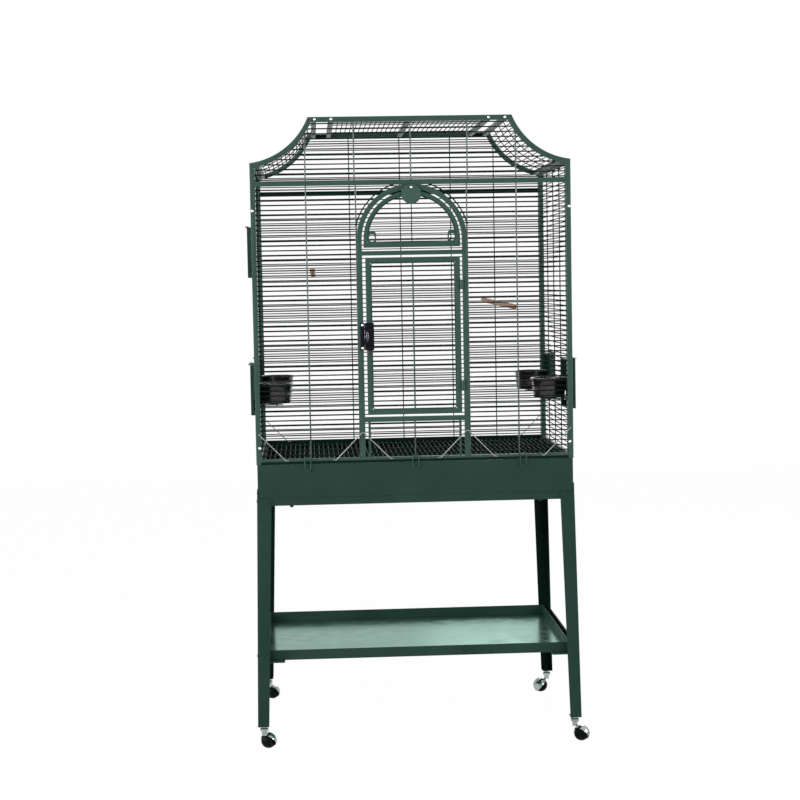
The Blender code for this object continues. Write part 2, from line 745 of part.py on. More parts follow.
def arch_pin_place(side):
    """The frame of a half-round door's hinge pin, with Z along the pin."""
    point = Matrix.Translation((side * ARCH_DOOR_HALF, FRAME_MIDDLE_Y, ARCH_AXIS_Z))
    return point @ Matrix.Rotation(math.pi / 2, 4, "Y")


def make_arch_pins(steel):
    pins = []
    for side, label in ((-1, "left"), (1, "right")):
        outer = side * (ARCH_DOOR_GAP - GAP)
        inner = -side * (LEAF_LENGTH - 2 * GAP)
        low, high = sorted((outer, inner))
        shape = add_turned(bmesh.new(), disc_profile(PIN_RADIUS, low, high), HINGE_SEGMENTS,
                           arch_pin_place(side))
        pins.append(finish_mesh(f"arch_door_pin_{label}", shape, steel, smooth=True))
    return pins


def make_latch_disc(paint):
    """A round plate that hangs from a rivet over the top of the half-round door."""
    turn = Matrix.Rotation(math.pi / 2, 4, "X")
    front = TONGUE_FRONT - GAP
    plate_place = Matrix.Translation((0.0, front, DISC_PIVOT_Z - DISC_DROP)) @ turn
    shape = add_turned(bmesh.new(), disc_profile(DISC_RADIUS, 0.0, DISC_THICKNESS), 32, plate_place)
    disc = finish_mesh("latch_disc", shape, paint, (0.0, front, DISC_PIVOT_Z), smooth=True)
    rivet_place = Matrix.Translation((0.0, front, DISC_PIVOT_Z)) @ turn
    rivet_top = DISC_THICKNESS + RIVET_HEIGHT
    dome = [(0.0, rivet_top), (RIVET_RADIUS * 0.6, rivet_top - RIVET_HEIGHT * 0.15),
            (RIVET_RADIUS, rivet_top - RIVET_HEIGHT * 0.6), (RIVET_RADIUS, DISC_THICKNESS / 2),
            (0.0, DISC_THICKNESS / 2)]
    join(disc, add_turned(bmesh.new(), dome, HINGE_SEGMENTS, rivet_place), "rivet")
    return disc


LOCK_FRONT = FRONT - GAP - LOCK_DEPTH
LOCK_MIDDLE = (DOOR_BOTTOM + DOOR_TOP) / 2 + LOCK_RISE
LOCK_BOTTOM = LOCK_MIDDLE - LOCK_HEIGHT / 2
LOCK_TOP = LOCK_BOTTOM + LOCK_HEIGHT
LOCK_SEAM = DOOR_LEFT - LOCK_SPLIT


def lock_outline():
    """The side view of the lock: thin ears at both ends and a deep middle."""
    back = FRONT - GAP
    ear = LOCK_FRONT + LOCK_STEP
    low_ear, high_ear = LOCK_BOTTOM + LOCK_SHOULDER, LOCK_TOP - LOCK_SHOULDER
    return [(back, LOCK_BOTTOM), (back, LOCK_TOP), (ear, LOCK_TOP), (ear, high_ear),
            (LOCK_FRONT, high_ear - LOCK_STEP / 2), (LOCK_FRONT, low_ear + LOCK_STEP / 2),
            (ear, low_ear), (ear, LOCK_BOTTOM)]


KNOB_X = LOCK_SEAM + KNOB_OFFSET


def make_lock(plastic):
    """The keeper on the post, the case on the door, and the knob that turns in it."""
    keeper_right = LOCK_SEAM - GAP
    shape = add_prism(bmesh.new(), "X", lock_outline(), keeper_right - LOCK_KEEPER_WIDTH, keeper_right)
    keeper = finish_mesh("lock_keeper", shape, plastic)
    cut(keeper, cam_pocket(), "pocket")
    case_left = LOCK_SEAM + GAP
    shape = add_prism(bmesh.new(), "X", lock_outline(), case_left, case_left + LOCK_CASE_WIDTH)
    case = finish_mesh("lock_case", shape, plastic)
    turn = Matrix.Rotation(math.pi / 2, 4, "X")
    boss_place = Matrix.Translation((KNOB_X, LOCK_FRONT, LOCK_MIDDLE)) @ turn
    socket = disc_profile(KNOB_BOSS_RADIUS + 2 * GAP, -CAM_DEPTH - GAP, EMBED)
    cut(case, add_turned(bmesh.new(), socket, HINGE_SEGMENTS, boss_place), "socket")
    cut(case, cam_pocket(), "pocket")
    return [keeper, case, make_lock_knob(plastic, boss_place)]


def cam_pocket():
    """The room, open to the back, that the cam sweeps from upright to behind the keeper's lip."""
    back = LOCK_FRONT + CAM_DEPTH + GAP
    front = back - CAM_THICKNESS - 2 * GAP
    reach = CAM_LENGTH + 2 * GAP
    half = KNOB_BOSS_RADIUS + GAP
    low = (KNOB_X - reach, front, LOCK_MIDDLE - half)
    high = (KNOB_X + half, FRONT, LOCK_MIDDLE + reach)
    return add_box(bmesh.new(), low, high)


def make_lock_knob(plastic, boss_place):
    """A thumb turn: a tapered grip, a round boss through the case and a cam behind it."""
    half_width, half_length = KNOB_WIDTH / 2, KNOB_LENGTH / 2
    near = LOCK_FRONT - GAP
    far = LOCK_FRONT - KNOB_DEPTH

    def ring(y, narrow, short):
        width, length = half_width - narrow, half_length - short
        points = []
        for index in range(16):
            angle = 2 * math.pi * index / 16
            points.append((KNOB_X + width * math.cos(angle), y, LOCK_MIDDLE + length * math.sin(angle)))
        return points

    shape = bmesh.new()
    add_hexahedron(shape, ring(near, 0.0, 0.0), ring(far, 0.0015, 0.0030))
    knob = finish_mesh("lock_knob", shape, plastic, (KNOB_X, LOCK_FRONT, LOCK_MIDDLE), smooth=True)
    boss = disc_profile(KNOB_BOSS_RADIUS, -CAM_DEPTH + GAP, KNOB_DEPTH / 2)
    join(knob, add_turned(bmesh.new(), boss, HINGE_SEGMENTS, boss_place), "boss")
    half = KNOB_BOSS_RADIUS * 0.7
    back = LOCK_FRONT + CAM_DEPTH
    low = (KNOB_X - half, back - CAM_THICKNESS, LOCK_MIDDLE - half)
    high = (KNOB_X + half, back - GAP / 2, LOCK_MIDDLE + CAM_LENGTH * 0.96)
    join(knob, add_box(bmesh.new(), low, high), "cam")
    return knob


def make_back_panel(paint):
    below = rectangle(-HALF_WIDTH + TUBE, HALF_WIDTH - TUBE, RAIL_TOP, CROSSBAR_BOTTOM)
    panel = finish_mesh("back_panel", add_prism(bmesh.new(), "Y", outer_outline(), BACK - TUBE, BACK), paint)
    for label, window in (("below", below), ("head", head_window(CROSSBAR_TOP))):
        cut(panel, add_prism(bmesh.new(), "Y", window, BACK - 2 * TUBE, BACK + TUBE), label)
    row_y = BACK - TUBE / 2 - LAYER / 2
    vertical_y = BACK - TUBE / 2 + LAYER / 2
    wires = bmesh.new()
    post = HALF_WIDTH - TUBE + EMBED
    first = FIRST_ROW - BACK_ROW_DROP
    edge = SURROUND + EDGE_OFFSET
    for z in rows(RAIL_TOP, CROSSBAR_BOTTOM, first):
        add_row_wire(wires, -post, post, z, row_y)
    for z in rows(CROSSBAR_TOP, TOP - TUBE, first):
        reach = min(post, head_half_width(z, -EMBED * 2))
        add_row_wire(wires, -reach, reach, z, row_y)
    for x in (-FRONT_VERTICAL, -edge, 0.0, edge, FRONT_VERTICAL):
        add_vertical_wire(wires, x, RAIL_TOP - EMBED, CROSSBAR_BOTTOM + EMBED, vertical_y)
        height = min(TOP - TUBE + EMBED, CURVE_Z - math.sqrt(
            max(0.0, (CURVE_RADIUS + TUBE - 2 * EMBED) ** 2 - max(0.0, CURVE_X - abs(x)) ** 2)))
        if abs(x) < CURVE_X - CURVE_RADIUS - TUBE:
            height = TOP - TUBE + EMBED
        add_vertical_wire(wires, x, CROSSBAR_TOP - EMBED, height, vertical_y)
    join(panel, wires, "wires")
    return panel


def hatches_of(side):
    """The (y, bottom) places of the feeder hatches on one side."""
    places = [(-HATCH_OFFSET, HATCH_LOW_BOTTOM, "front"), (HATCH_OFFSET, HATCH_LOW_BOTTOM, "back")]
    if side < 0:
        places.append((-HATCH_OFFSET, HATCH_HIGH_BOTTOM, "upper"))
    return places


ROW_X = PANEL_MIDDLE_X + LAYER / 2
SIDE_VERTICAL_X = PANEL_MIDDLE_X - LAYER / 2
HATCH_FRONT_X = HALF_WIDTH + HATCH_DEPTH
HATCH_BACK_X = ROW_X - WIRE
PLATE_BACK_X = HATCH_FRONT_X - HATCH_FLANGE_THICKNESS - HATCH_SLIDE_GAP - SHEET
PLATE_FRONT_X = PLATE_BACK_X + SHEET


def guide_outline(side, hand, y):
    """The plan of a hatch guide: a web with a flange in front of the plate."""
    web_out = hand * HATCH_WIDTH / 2
    web_in = hand * (HATCH_WIDTH / 2 - HATCH_WALL)
    lip = hand * (HATCH_WIDTH / 2 - HATCH_FLANGE)
    thick = HATCH_FLANGE_THICKNESS
    points = [(HATCH_BACK_X, web_out), (HATCH_FRONT_X, web_out), (HATCH_FRONT_X, lip),
              (HATCH_FRONT_X - thick, lip), (HATCH_FRONT_X - thick, web_in), (HATCH_BACK_X, web_in)]
    return [(side * x, y + v) for x, v in points]


def add_hatch(panel, side, y, bottom, label):
    """Guides, stop, sill and cup rest of one hatch, joined to its side panel."""
    top = bottom + HATCH_HEIGHT
    for hand in (-1, 1):
        web = add_prism(bmesh.new(), "Z", guide_outline(side, hand, y), bottom, top)
        join(panel, web, f"guide_{label}_{hand + 1}")
        slot_y = sorted((y + hand * (HATCH_WIDTH / 2 - HATCH_WALL - EMBED),
                         y + hand * (HATCH_WIDTH / 2 + EMBED)))
        slot_x = sorted((side * (HALF_WIDTH + SLOT_WIDTH), side * HALF_WIDTH))
        slot = add_box(bmesh.new(), (slot_x[0], slot_y[0], bottom + SLOT_RISE),
                       (slot_x[1], slot_y[1], bottom + SLOT_RISE + SLOT_LENGTH))
        cut(panel, slot, f"slot_{label}_{hand + 1}")
    inner = HATCH_WIDTH / 2 - HATCH_WALL / 2
    stop_x = sorted((side * (HATCH_FRONT_X - GAP), side * (HATCH_BACK_X + GAP)))
    stop = add_box(bmesh.new(), (stop_x[0], y - inner, bottom + GAP),
                   (stop_x[1], y + inner, bottom + GAP + HATCH_WALL))
    join(panel, stop, f"stop_{label}")
    bar_x = sorted((side * (HATCH_BACK_X + 2 * GAP), side * (PLATE_BACK_X - HATCH_SLIDE_GAP)))
    for part, low in (("sill", bottom + HATCH_SILL), ("head", top - HATCH_TOP_CLEARANCE)):
        high = low + HATCH_SILL_HEIGHT
        bar = add_box(bmesh.new(), (bar_x[0], y - inner, low), (bar_x[1], y + inner, high))
        join(panel, bar, f"{part}_{label}")
    if bottom == HATCH_LOW_BOTTOM:
        prongs = bmesh.new()
        prong_top = bottom + HATCH_SILL + HATCH_SILL_HEIGHT
        prong_x = sorted((side * (HATCH_BACK_X + HATCH_SILL_HEIGHT), side * (HATCH_BACK_X - PRONG_LENGTH)))
        for hand in (-1, 1):
            low_y = y + hand * PRONG_SPACING - PRONG_WIDTH / 2
            add_box(prongs, (prong_x[0], low_y, prong_top - PRONG_WIDTH),
                    (prong_x[1], low_y + PRONG_WIDTH, prong_top - GAP))
        join(panel, prongs, f"prongs_{label}")


def side_row_spans(z, side):
    """The stretches of a side wire at a height, broken at the hatches."""
    reach = INNER_HALF_DEPTH - TUBE + EMBED
    cuts = []
    for y, bottom, _ in hatches_of(side):
        head = bottom + HATCH_HEIGHT
        if bottom - WIRE / 2 < z < head + WIRE / 2:
            web = HATCH_WIDTH / 2 - HATCH_WALL / 2
            cuts.append((y - web, y + web))
    spans, start = [], -reach
    for low, high in sorted(cuts):
        spans.append((start, low))
        start = high
    spans.append((start, reach))
    return [span for span in spans if span[1] - span[0] > PITCH]


def make_side_panel(side, paint):
    name = "left_panel" if side < 0 else "right_panel"
    outline = rectangle(-INNER_HALF_DEPTH, INNER_HALF_DEPTH, PANEL_BOTTOM, SHOULDER_HEIGHT)
    inside = rectangle(-INNER_HALF_DEPTH + TUBE, INNER_HALF_DEPTH - TUBE, RAIL_TOP, SHOULDER_HEIGHT - TUBE)
    low_x, high_x = sorted((side * HALF_WIDTH, side * (HALF_WIDTH - TUBE)))
    shape = add_prism(bmesh.new(), "X", outline, low_x, high_x, [inside])
    panel = finish_mesh(name, shape, paint)
    for y, bottom, label in hatches_of(side):
        add_hatch(panel, side, y, bottom, label)
    wires = bmesh.new()
    for z in rows(RAIL_TOP, SHOULDER_HEIGHT - TUBE, FIRST_ROW):
        for low, high in side_row_spans(z, side):
            add_wire(wires, "Y", low, high, (side * ROW_X, z))
    for y in (-SIDE_VERTICAL, 0.0, SIDE_VERTICAL):
        add_wire(wires, "Z", RAIL_TOP - EMBED, SHOULDER_HEIGHT - TUBE + EMBED, (side * SIDE_VERTICAL_X, y))
    join(panel, wires, "wires")
    return panel


def make_feeder_door(side, y, bottom, label, paint):
    """A sheet plate with a lift lip bent outwards along its top."""
    name = f"feeder_door_{'left' if side < 0 else 'right'}_{label}"
    half = HATCH_WIDTH / 2 - HATCH_WALL - HATCH_SLIDE_GAP
    low = bottom + 2 * GAP + HATCH_WALL
    top = bottom + HATCH_HEIGHT + LIP_RISE
    profile = [(PLATE_BACK_X, low), (PLATE_FRONT_X, low), (PLATE_FRONT_X, top - SHEET),
               (PLATE_FRONT_X + LIP_LENGTH, top - SHEET), (PLATE_FRONT_X + LIP_LENGTH, top),
               (PLATE_BACK_X, top)]
    outline = [(side * x, z) for x, z in profile]
    shape = add_prism(bmesh.new(), "Y", outline, y - half, y + half)
    return finish_mesh(name, shape, paint, (side * PLATE_BACK_X, y, low))


def cup_centre(side, y):
    return (side * (HALF_WIDTH - CUP_INSET), y, HATCH_LOW_BOTTOM + HATCH_SILL + HATCH_SILL_HEIGHT)


def make_cup(side, y, label, plastic):
    """A round cup with a rolled rim, open at the top."""
    name = f"cup_{'left' if side < 0 else 'right'}_{label}"
    centre = cup_centre(side, y)
    height, wall = CUP_HEIGHT, CUP_WALL
    rim = CUP_RADIUS + CUP_RIM
    profile = [
        (0.0, 0.0), (CUP_FOOT_RADIUS - wall, 0.0), (CUP_FOOT_RADIUS, wall),
        (CUP_RADIUS, height - CUP_RIM_HEIGHT), (rim, height - CUP_RIM_HEIGHT), (rim, height),
        (CUP_RADIUS - wall, height), (CUP_FOOT_RADIUS - wall, 2 * wall), (0.0, 2 * wall),
    ]
    shape = add_turned(bmesh.new(), profile, CUP_SEGMENTS, Matrix.Translation(centre))
    return finish_mesh(name, shape, plastic, centre, smooth=True)


def make_top_panel(paint):
    """The flat top: side bars, a middle bar, end bars and wires from front to back."""
    low, high = TOP - TUBE, TOP
    outer = TOP_BAR_CENTRE + TUBE / 2
    inner = TOP_BAR_CENTRE - TUBE / 2
    depth = INNER_HALF_DEPTH
    openings = [rectangle(-inner, -TUBE / 2, -depth + TUBE, depth - TUBE),
                rectangle(TUBE / 2, inner, -depth + TUBE, depth - TUBE)]
    outline = rectangle(-outer, outer, -depth, depth)
    shape = add_prism(bmesh.new(), "Z", outline, low, high, openings)
    panel = finish_mesh("top_panel", shape, paint)
    wires = bmesh.new()
    row_z = TOP - TUBE / 2 + LAYER / 2
    cross_z = TOP - TUBE / 2 - LAYER / 2
    reach = depth - TUBE + EMBED
    count = int((inner - TUBE / 2 - WIRE) / PITCH)
    for side in (-1, 1):
        for index in range(1, count + 1):
            x = side * (TUBE / 2 + index * (inner - TUBE / 2) / (count + 1))
            add_wire(wires, "Y", -reach, reach, (x, row_z))
        ends = sorted((side * (TUBE / 2 - EMBED), side * (inner + EMBED)))
        for y in (-SIDE_VERTICAL, 0.0, SIDE_VERTICAL):
            add_wire(wires, "X", ends[0], ends[1], (y, cross_z))
    join(panel, wires, "wires")
    return panel


def make_curve_panel(side, paint):
    """The wire panel that follows the inward curve from the shoulder to the top."""
    name = "curve_panel_left" if side < 0 else "curve_panel_right"
    depth = INNER_HALF_DEPTH
    foot = HALF_WIDTH - TUBE - GAP - TUBE / 2
    foot_z = CURVE_Z - math.sqrt((CURVE_RADIUS + TUBE / 2 + GAP) ** 2 - (CURVE_X - foot) ** 2)
    low_x, high_x = sorted((side * (foot - TUBE / 2), side * (foot + TUBE / 2)))
    low = (low_x, -depth, foot_z - TUBE / 2)
    high = (high_x, depth, foot_z + TUBE / 2)
    shape = add_box(bmesh.new(), low, high)
    panel = finish_mesh(name, shape, paint)
    middle = CURVE_RADIUS + TUBE / 2
    start = curve_angle_at_x(middle, foot)
    end = curve_angle_at_z(middle, TOP - TUBE / 2)
    bar_x = CURVE_BAR_CENTRE
    low_x, high_x = sorted((side * (bar_x - TUBE / 2), side * (bar_x + TUBE / 2)))
    join(panel, add_box(bmesh.new(), (low_x, -depth, TOP - TUBE), (high_x, depth, TOP)), "top_bar")
    head = (side * bar_x, TOP - TUBE / 2)
    curve = curve_points(middle, side, start, end)
    end_y = depth - CURVE_END_BAR / 2 - GAP
    for label, y in (("front", -end_y), ("back", end_y)):
        bar = add_swept_bar(bmesh.new(), (y, curve + [head]), TUBE / 2 - 2 * GAP, CURVE_END_BAR / 2)
        join(panel, bar, f"end_{label}")
    wires = bmesh.new()
    reach = depth - CURVE_END_BAR
    length = middle * (end - start)
    count = int(length / PITCH)
    radius = middle + LAYER / 2
    half = WIRE / 2
    for index in range(1, count):
        angle = start + (end - start) * index / count
        x = side * (CURVE_X - radius * math.sin(angle))
        z = CURVE_Z - radius * math.cos(angle)
        across = Vector((side * math.cos(angle), 0, -math.sin(angle))) * half
        out = Vector((side * math.sin(angle), 0, math.cos(angle))) * half
        middle_point = Vector((x, 0, z))
        corners = [middle_point + across + out, middle_point - across + out, middle_point - out]
        add_hexahedron(wires, [c + Vector((0, -reach, 0)) for c in corners],
                       [c + Vector((0, reach, 0)) for c in corners])
    outside = middle - LAYER / 2
    outer_curve = curve_points(outside, side, start, curve_angle_at_z(outside, TOP - TUBE / 2 + GAP))
    for y in (-SIDE_VERTICAL, 0.0, SIDE_VERTICAL):
        add_swept_bar(wires, (y, outer_curve + [(side * bar_x, TOP - TUBE / 2 + GAP)]), half, half)
    join(panel, wires, "wires")
    return panel


def make_base_wall_side(side, paint):
    """A folded sheet wall; the grate and the side panel stand on its top flange."""
    name = "base_wall_left" if side < 0 else "base_wall_right"
    outer = HALF_WIDTH - BASE_INSET
    inner = outer - SHEET
    profile = [
        (outer, BASE_BOTTOM), (outer, BASE_TOP), (outer - BASE_FLANGE_TOP, BASE_TOP),
        (outer - BASE_FLANGE_TOP, BASE_TOP - SHEET), (inner, BASE_TOP - SHEET), (inner, BASE_BOTTOM + SHEET),
        (outer - BASE_FLANGE_BOTTOM, BASE_BOTTOM + SHEET), (outer - BASE_FLANGE_BOTTOM, BASE_BOTTOM),
    ]
    outline = [(side * x, z) for x, z in profile]
    start = FRONT + FASCIA_HEM + GAP
    shape = add_prism(bmesh.new(), "Y", outline, start, BACK - SHEET - GAP)
    return finish_mesh(name, shape, paint)


def make_base_wall_back(paint):
    outer = HALF_WIDTH - BASE_INSET
    inner = BACK - SHEET
    profile = [(inner, BASE_BOTTOM), (BACK, BASE_BOTTOM), (BACK, BASE_TOP), (inner, BASE_TOP)]
    shape = add_prism(bmesh.new(), "X", profile, -outer, outer)
    wall = finish_mesh("base_wall_back", shape, paint)
    reach = outer - BASE_FLANGE_BOTTOM - GAP
    low = (-reach, BACK - BASE_FLANGE_BOTTOM, BASE_BOTTOM)
    high = (reach, BACK - SHEET / 2, BASE_BOTTOM + SHEET)
    join(wall, add_box(bmesh.new(), low, high), "bottom_flange")
    reach = outer - BASE_FLANGE_TOP - GAP
    low = (-reach, BACK - BASE_FLANGE_TOP, BASE_TOP - SHEET)
    high = (reach, BACK - SHEET / 2, BASE_TOP)
    join(wall, add_box(bmesh.new(), low, high), "top_flange")
    return wall


TRAY_BOTTOM = BASE_BOTTOM + SHEET + GAP
TRAY_HALF = HALF_WIDTH - BASE_INSET - SHEET - TRAY_SIDE_GAP
FASCIA_TOP = BASE_TOP


def make_tray(paint):
    """The slide-out pan with its full-width front."""
    back = BACK - SHEET - TRAY_BACK_GAP
    front = FRONT + SHEET / 2
    high = (TRAY_HALF, back, TRAY_BOTTOM + TRAY_WALL_HEIGHT)
    shape = add_box(bmesh.new(), (-TRAY_HALF, front, TRAY_BOTTOM), high)
    tray = finish_mesh("waste_tray", shape, paint, (0.0, FRONT, TRAY_BOTTOM))
    hollow_low = (-TRAY_HALF + SHEET, FRONT + SHEET * 2, TRAY_BOTTOM + SHEET)
    hollow_high = (TRAY_HALF - SHEET, back - SHEET, TRAY_BOTTOM + TRAY_WALL_HEIGHT + SHEET)
    cut(tray, add_box(bmesh.new(), hollow_low, hollow_high), "hollow")
    half = HALF_WIDTH - BASE_INSET
    fascia = [(FRONT, BASE_BOTTOM), (FRONT, FASCIA_TOP), (FRONT + FASCIA_HEM, FASCIA_TOP),
              (FRONT + FASCIA_HEM, FASCIA_TOP - SHEET), (FRONT + SHEET, FASCIA_TOP - SHEET),
              (FRONT + SHEET, BASE_BOTTOM)]
    join(tray, add_prism(bmesh.new(), "X", fascia, -half, half), "fascia")
    return tray


def oval(half_x, low, high, x):
    """An upright slot shape with round ends."""
    top = arc(x, high - half_x, half_x, 0.0, math.pi, 4)
    bottom = arc(x, low + half_x, half_x, math.pi, 2 * math.pi, 4)
    return top + bottom


def add_pull(grate, x, label):
    """A wire loop on the grate's front bar that hangs in front of the tray."""
    back = FRONT - PULL_STANDOFF
    outer = oval(PULL_WIDTH / 2, PULL_BOTTOM, PULL_TOP, x)
    inner = oval(PULL_WIDTH / 2 - PULL_WIRE, PULL_BOTTOM + PULL_WIRE, PULL_TOP - PULL_WIRE, x)
    join(grate, add_prism(bmesh.new(), "Y", outer, back - PULL_WIRE, back, [inner]), f"pull_{label}")
    stubs = bmesh.new()
    for side in (-1, 1):
        middle = x + side * (PULL_WIDTH - PULL_WIRE) / 2
        half = PULL_WIRE / 2 - GAP
        add_box(stubs, (middle - half, back - EMBED, GRATE_BOTTOM + GRATE_BAR / 4),
                (middle + half, FRONT + GRATE_BAR / 2, GRATE_BOTTOM + GRATE_BAR / 4 + PULL_WIRE))
    join(grate, stubs, f"stubs_{label}")


def make_grate(paint):
    """The floor grate: a bar frame, wires from front to back, and three wire pulls."""
    half = HALF_WIDTH - TUBE - GRATE_SIDE_GAP
    front = FRONT + 2 * GAP
    back = BACK - TUBE - GRATE_SIDE_GAP
    bottom = GRATE_BOTTOM
    outline = rectangle(-half, half, front, back)
    inside = rectangle(-half + GRATE_BAR, half - GRATE_BAR, front + GRATE_BAR, back - GRATE_BAR)
    deep = GRATE_TOP - GRATE_BOTTOM
    shape = add_prism(bmesh.new(), "Z", outline, bottom, bottom + deep, [inside])
    grate = finish_mesh("floor_grate", shape, paint, (0.0, front, bottom))
    wires = bmesh.new()
    upper = bottom + deep / 2 + LAYER / 2
    lower = bottom + deep / 2 - LAYER / 2
    width = 2 * (half - GRATE_BAR)
    count = int(width / PITCH)
    for index in range(1, count):
        x = -half + GRATE_BAR + width * index / count
        add_wire(wires, "Y", front + GRATE_BAR - EMBED, back - GRATE_BAR + EMBED, (x, upper))
    length = back - front
    for index in range(1, GRATE_CROSS_BARS + 1):
        y = front + length * index / (GRATE_CROSS_BARS + 1)
        reach = half - GRATE_BAR + EMBED
        add_wire(wires, "X", -reach, reach, (y, lower))
    join(grate, wires, "wires")
    for index, label in ((-1, "left"), (0, "middle"), (1, "right")):
        add_pull(grate, index * PULL_SPACING, label)
    return grate


def make_perch(label, front, back, wood):
    """A dowel between the front and back wires; each end is (x, drop below the crossbar)."""
    start = Vector((front[0], FRONT + TUBE + GAP, CROSSBAR_BOTTOM - front[1]))
    end = Vector((back[0], BACK - TUBE - GAP, CROSSBAR_BOTTOM - back[1]))
    along = end - start
    length = along.length
    turn = along.to_track_quat("Z", "Y").to_matrix().to_4x4()
    neck = PERCH_RADIUS - PERCH_NOTCH / 2
    profile = [(0.0, length), (neck, length), (neck, length - PERCH_NOTCH),
               (PERCH_RADIUS, length - PERCH_NOTCH * 2), (PERCH_RADIUS, PERCH_NOTCH * 2),
               (neck, PERCH_NOTCH), (neck, 0.0), (0.0, 0.0)]
    shape = add_turned(bmesh.new(), profile, PERCH_SEGMENTS, Matrix.Translation(start) @ turn)
    return finish_mesh(f"perch_{label}", shape, wood, smooth=True)


def make_stay(name, x, feet, steel):
    """A thin bent rod in front of a post, with one or two feet on the base rail."""
    y = FRONT - STAY_STANDOFF
    low = FRONT_RAIL_BOTTOM + STAY_ROD
    top = (x, y, low + STAY_HEIGHT)
    path = []
    if -1 in feet:
        path += [(x - STAY_SPREAD - STAY_FOOT, low), (x - STAY_SPREAD, low)]
    path.append((x, top[2]))
    if 1 in feet:
        path += [(x + STAY_SPREAD, low), (x + STAY_SPREAD + STAY_FOOT, low)]
    half = STAY_ROD / 2
    shape = add_swept_bar(bmesh.new(), (y - half + GAP, path), half, half)
    return finish_mesh(name, shape, steel)


def leg_outer(z):
    """How far the leg's outer corner stands out from the base at a height."""
    top = BASE_BOTTOM + LEG_OVERLAP
    return LEG_SPLAY * (top - z) / (top - LEG_BOTTOM)


def leg_section(side_x, side_y, z):
    top = BASE_BOTTOM + LEG_OVERLAP
    share = (z - LEG_BOTTOM) / (top - LEG_BOTTOM)
    width = LEG_WIDTH_BOTTOM + (LEG_WIDTH_TOP - LEG_WIDTH_BOTTOM) * share
    out_x = HALF_WIDTH + leg_outer(z)
    out_y = HALF_DEPTH + SHEET + leg_outer(z)
    points = [(out_x, out_y), (out_x - width, out_y), (out_x - width, out_y - SHEET),
              (out_x - SHEET, out_y - SHEET), (out_x - SHEET, out_y - width), (out_x, out_y - width)]
    return [(side_x * x, side_y * y, z) for x, y in points]


def caster_axis(side_x, side_y):
    splay = LEG_SPLAY
    return (side_x * (HALF_WIDTH + splay - CASTER_INSET),
            side_y * (HALF_DEPTH + SHEET + splay - CASTER_INSET))


def make_leg(side_x, side_y, label, paint):
    """A tapered angle leg that splays outwards, with a foot plate and caster stem."""
    top = BASE_BOTTOM + LEG_OVERLAP
    ends = [leg_section(side_x, side_y, z) for z in (LEG_BOTTOM, top)]
    shape = add_hexahedron(bmesh.new(), ends[0], ends[1])
    leg = finish_mesh(f"leg_{label}", shape, paint)
    near_x = HALF_WIDTH - BASE_INSET / 2 - SHEET / 2
    inner_x, outer_x = sorted((side_x * near_x, side_x * (HALF_WIDTH - LEG_WIDTH_TOP * 2)))
    inner_y, outer_y = sorted((side_y * (HALF_DEPTH - LEG_WIDTH_TOP), side_y * (HALF_DEPTH + LEG_WIDTH_TOP)))
    relief = add_box(bmesh.new(), (inner_x, inner_y, BASE_BOTTOM - 2 * GAP), (outer_x, outer_y, top + GAP))
    cut(leg, relief, "relief")
    corner = leg_section(side_x, side_y, LEG_BOTTOM)
    far = corner[0]
    inset = LEG_WIDTH_BOTTOM - SHEET / 2
    plate_x = sorted((far[0] - side_x * SHEET / 2, far[0] - side_x * inset))
    plate_y = sorted((far[1] - side_y * SHEET / 2, far[1] - side_y * inset))
    foot = add_box(bmesh.new(), (plate_x[0], plate_y[0], LEG_BOTTOM + GAP),
                   (plate_x[1], plate_y[1], LEG_BOTTOM + GAP + FOOT_THICKNESS))
    join(leg, foot, "foot")
    x, y = caster_axis(side_x, side_y)
    stem = disc_profile(STEM_RADIUS, FOOT_THICKNESS / 2, STEM_HEIGHT)
    join(leg, add_turned(bmesh.new(), stem, HINGE_SEGMENTS, Matrix.Translation((x, y, LEG_BOTTOM))), "stem")
    return leg


def make_stand_rail(label, side, paint):
    """An angle rail under the base between two legs; the base rests on its flange."""
    top = BASE_BOTTOM - GAP
    bottom = BASE_BOTTOM - RAIL_HEIGHT
    if label in ("front", "back"):
        reach = HALF_WIDTH - BASE_INSET / 2 - SHEET
        wall = HALF_DEPTH - GAP
        axis = "X"
    else:
        reach = HALF_DEPTH - SHEET - RAIL_FLANGE
        wall = HALF_WIDTH - SHEET - GAP
        axis = "Y"
    flange = wall - RAIL_FLANGE
    profile = [(wall, bottom), (wall, top), (flange, top), (flange, top - SHEET),
               (wall - SHEET, top - SHEET), (wall - SHEET, bottom)]
    outline = [(side * u, v) for u, v in profile]
    shape = add_prism(bmesh.new(), axis, outline, -reach, reach)
    return finish_mesh(f"stand_rail_{label}", shape, paint)


SHELF_HALF_DEPTH = HALF_DEPTH - SHELF_INSET


def make_shelf(paint):
    """The lower shelf: a shallow sheet pan with lips on all four sides."""
    bottom, top = SHELF_FLOOR, SHELF_FLOOR + SHELF_LIP
    low = (-SHELF_HALF_WIDTH, -SHELF_HALF_DEPTH, bottom)
    shape = add_box(bmesh.new(), low, (SHELF_HALF_WIDTH, SHELF_HALF_DEPTH, top))
    shelf = finish_mesh("lower_shelf", shape, paint)
    inside = add_box(bmesh.new(), (-SHELF_HALF_WIDTH + SHEET, -SHELF_HALF_DEPTH + SHEET, bottom + SHEET),
                     (SHELF_HALF_WIDTH - SHEET, SHELF_HALF_DEPTH - SHEET, top + SHEET))
    cut(shelf, inside, "inside")
    return shelf


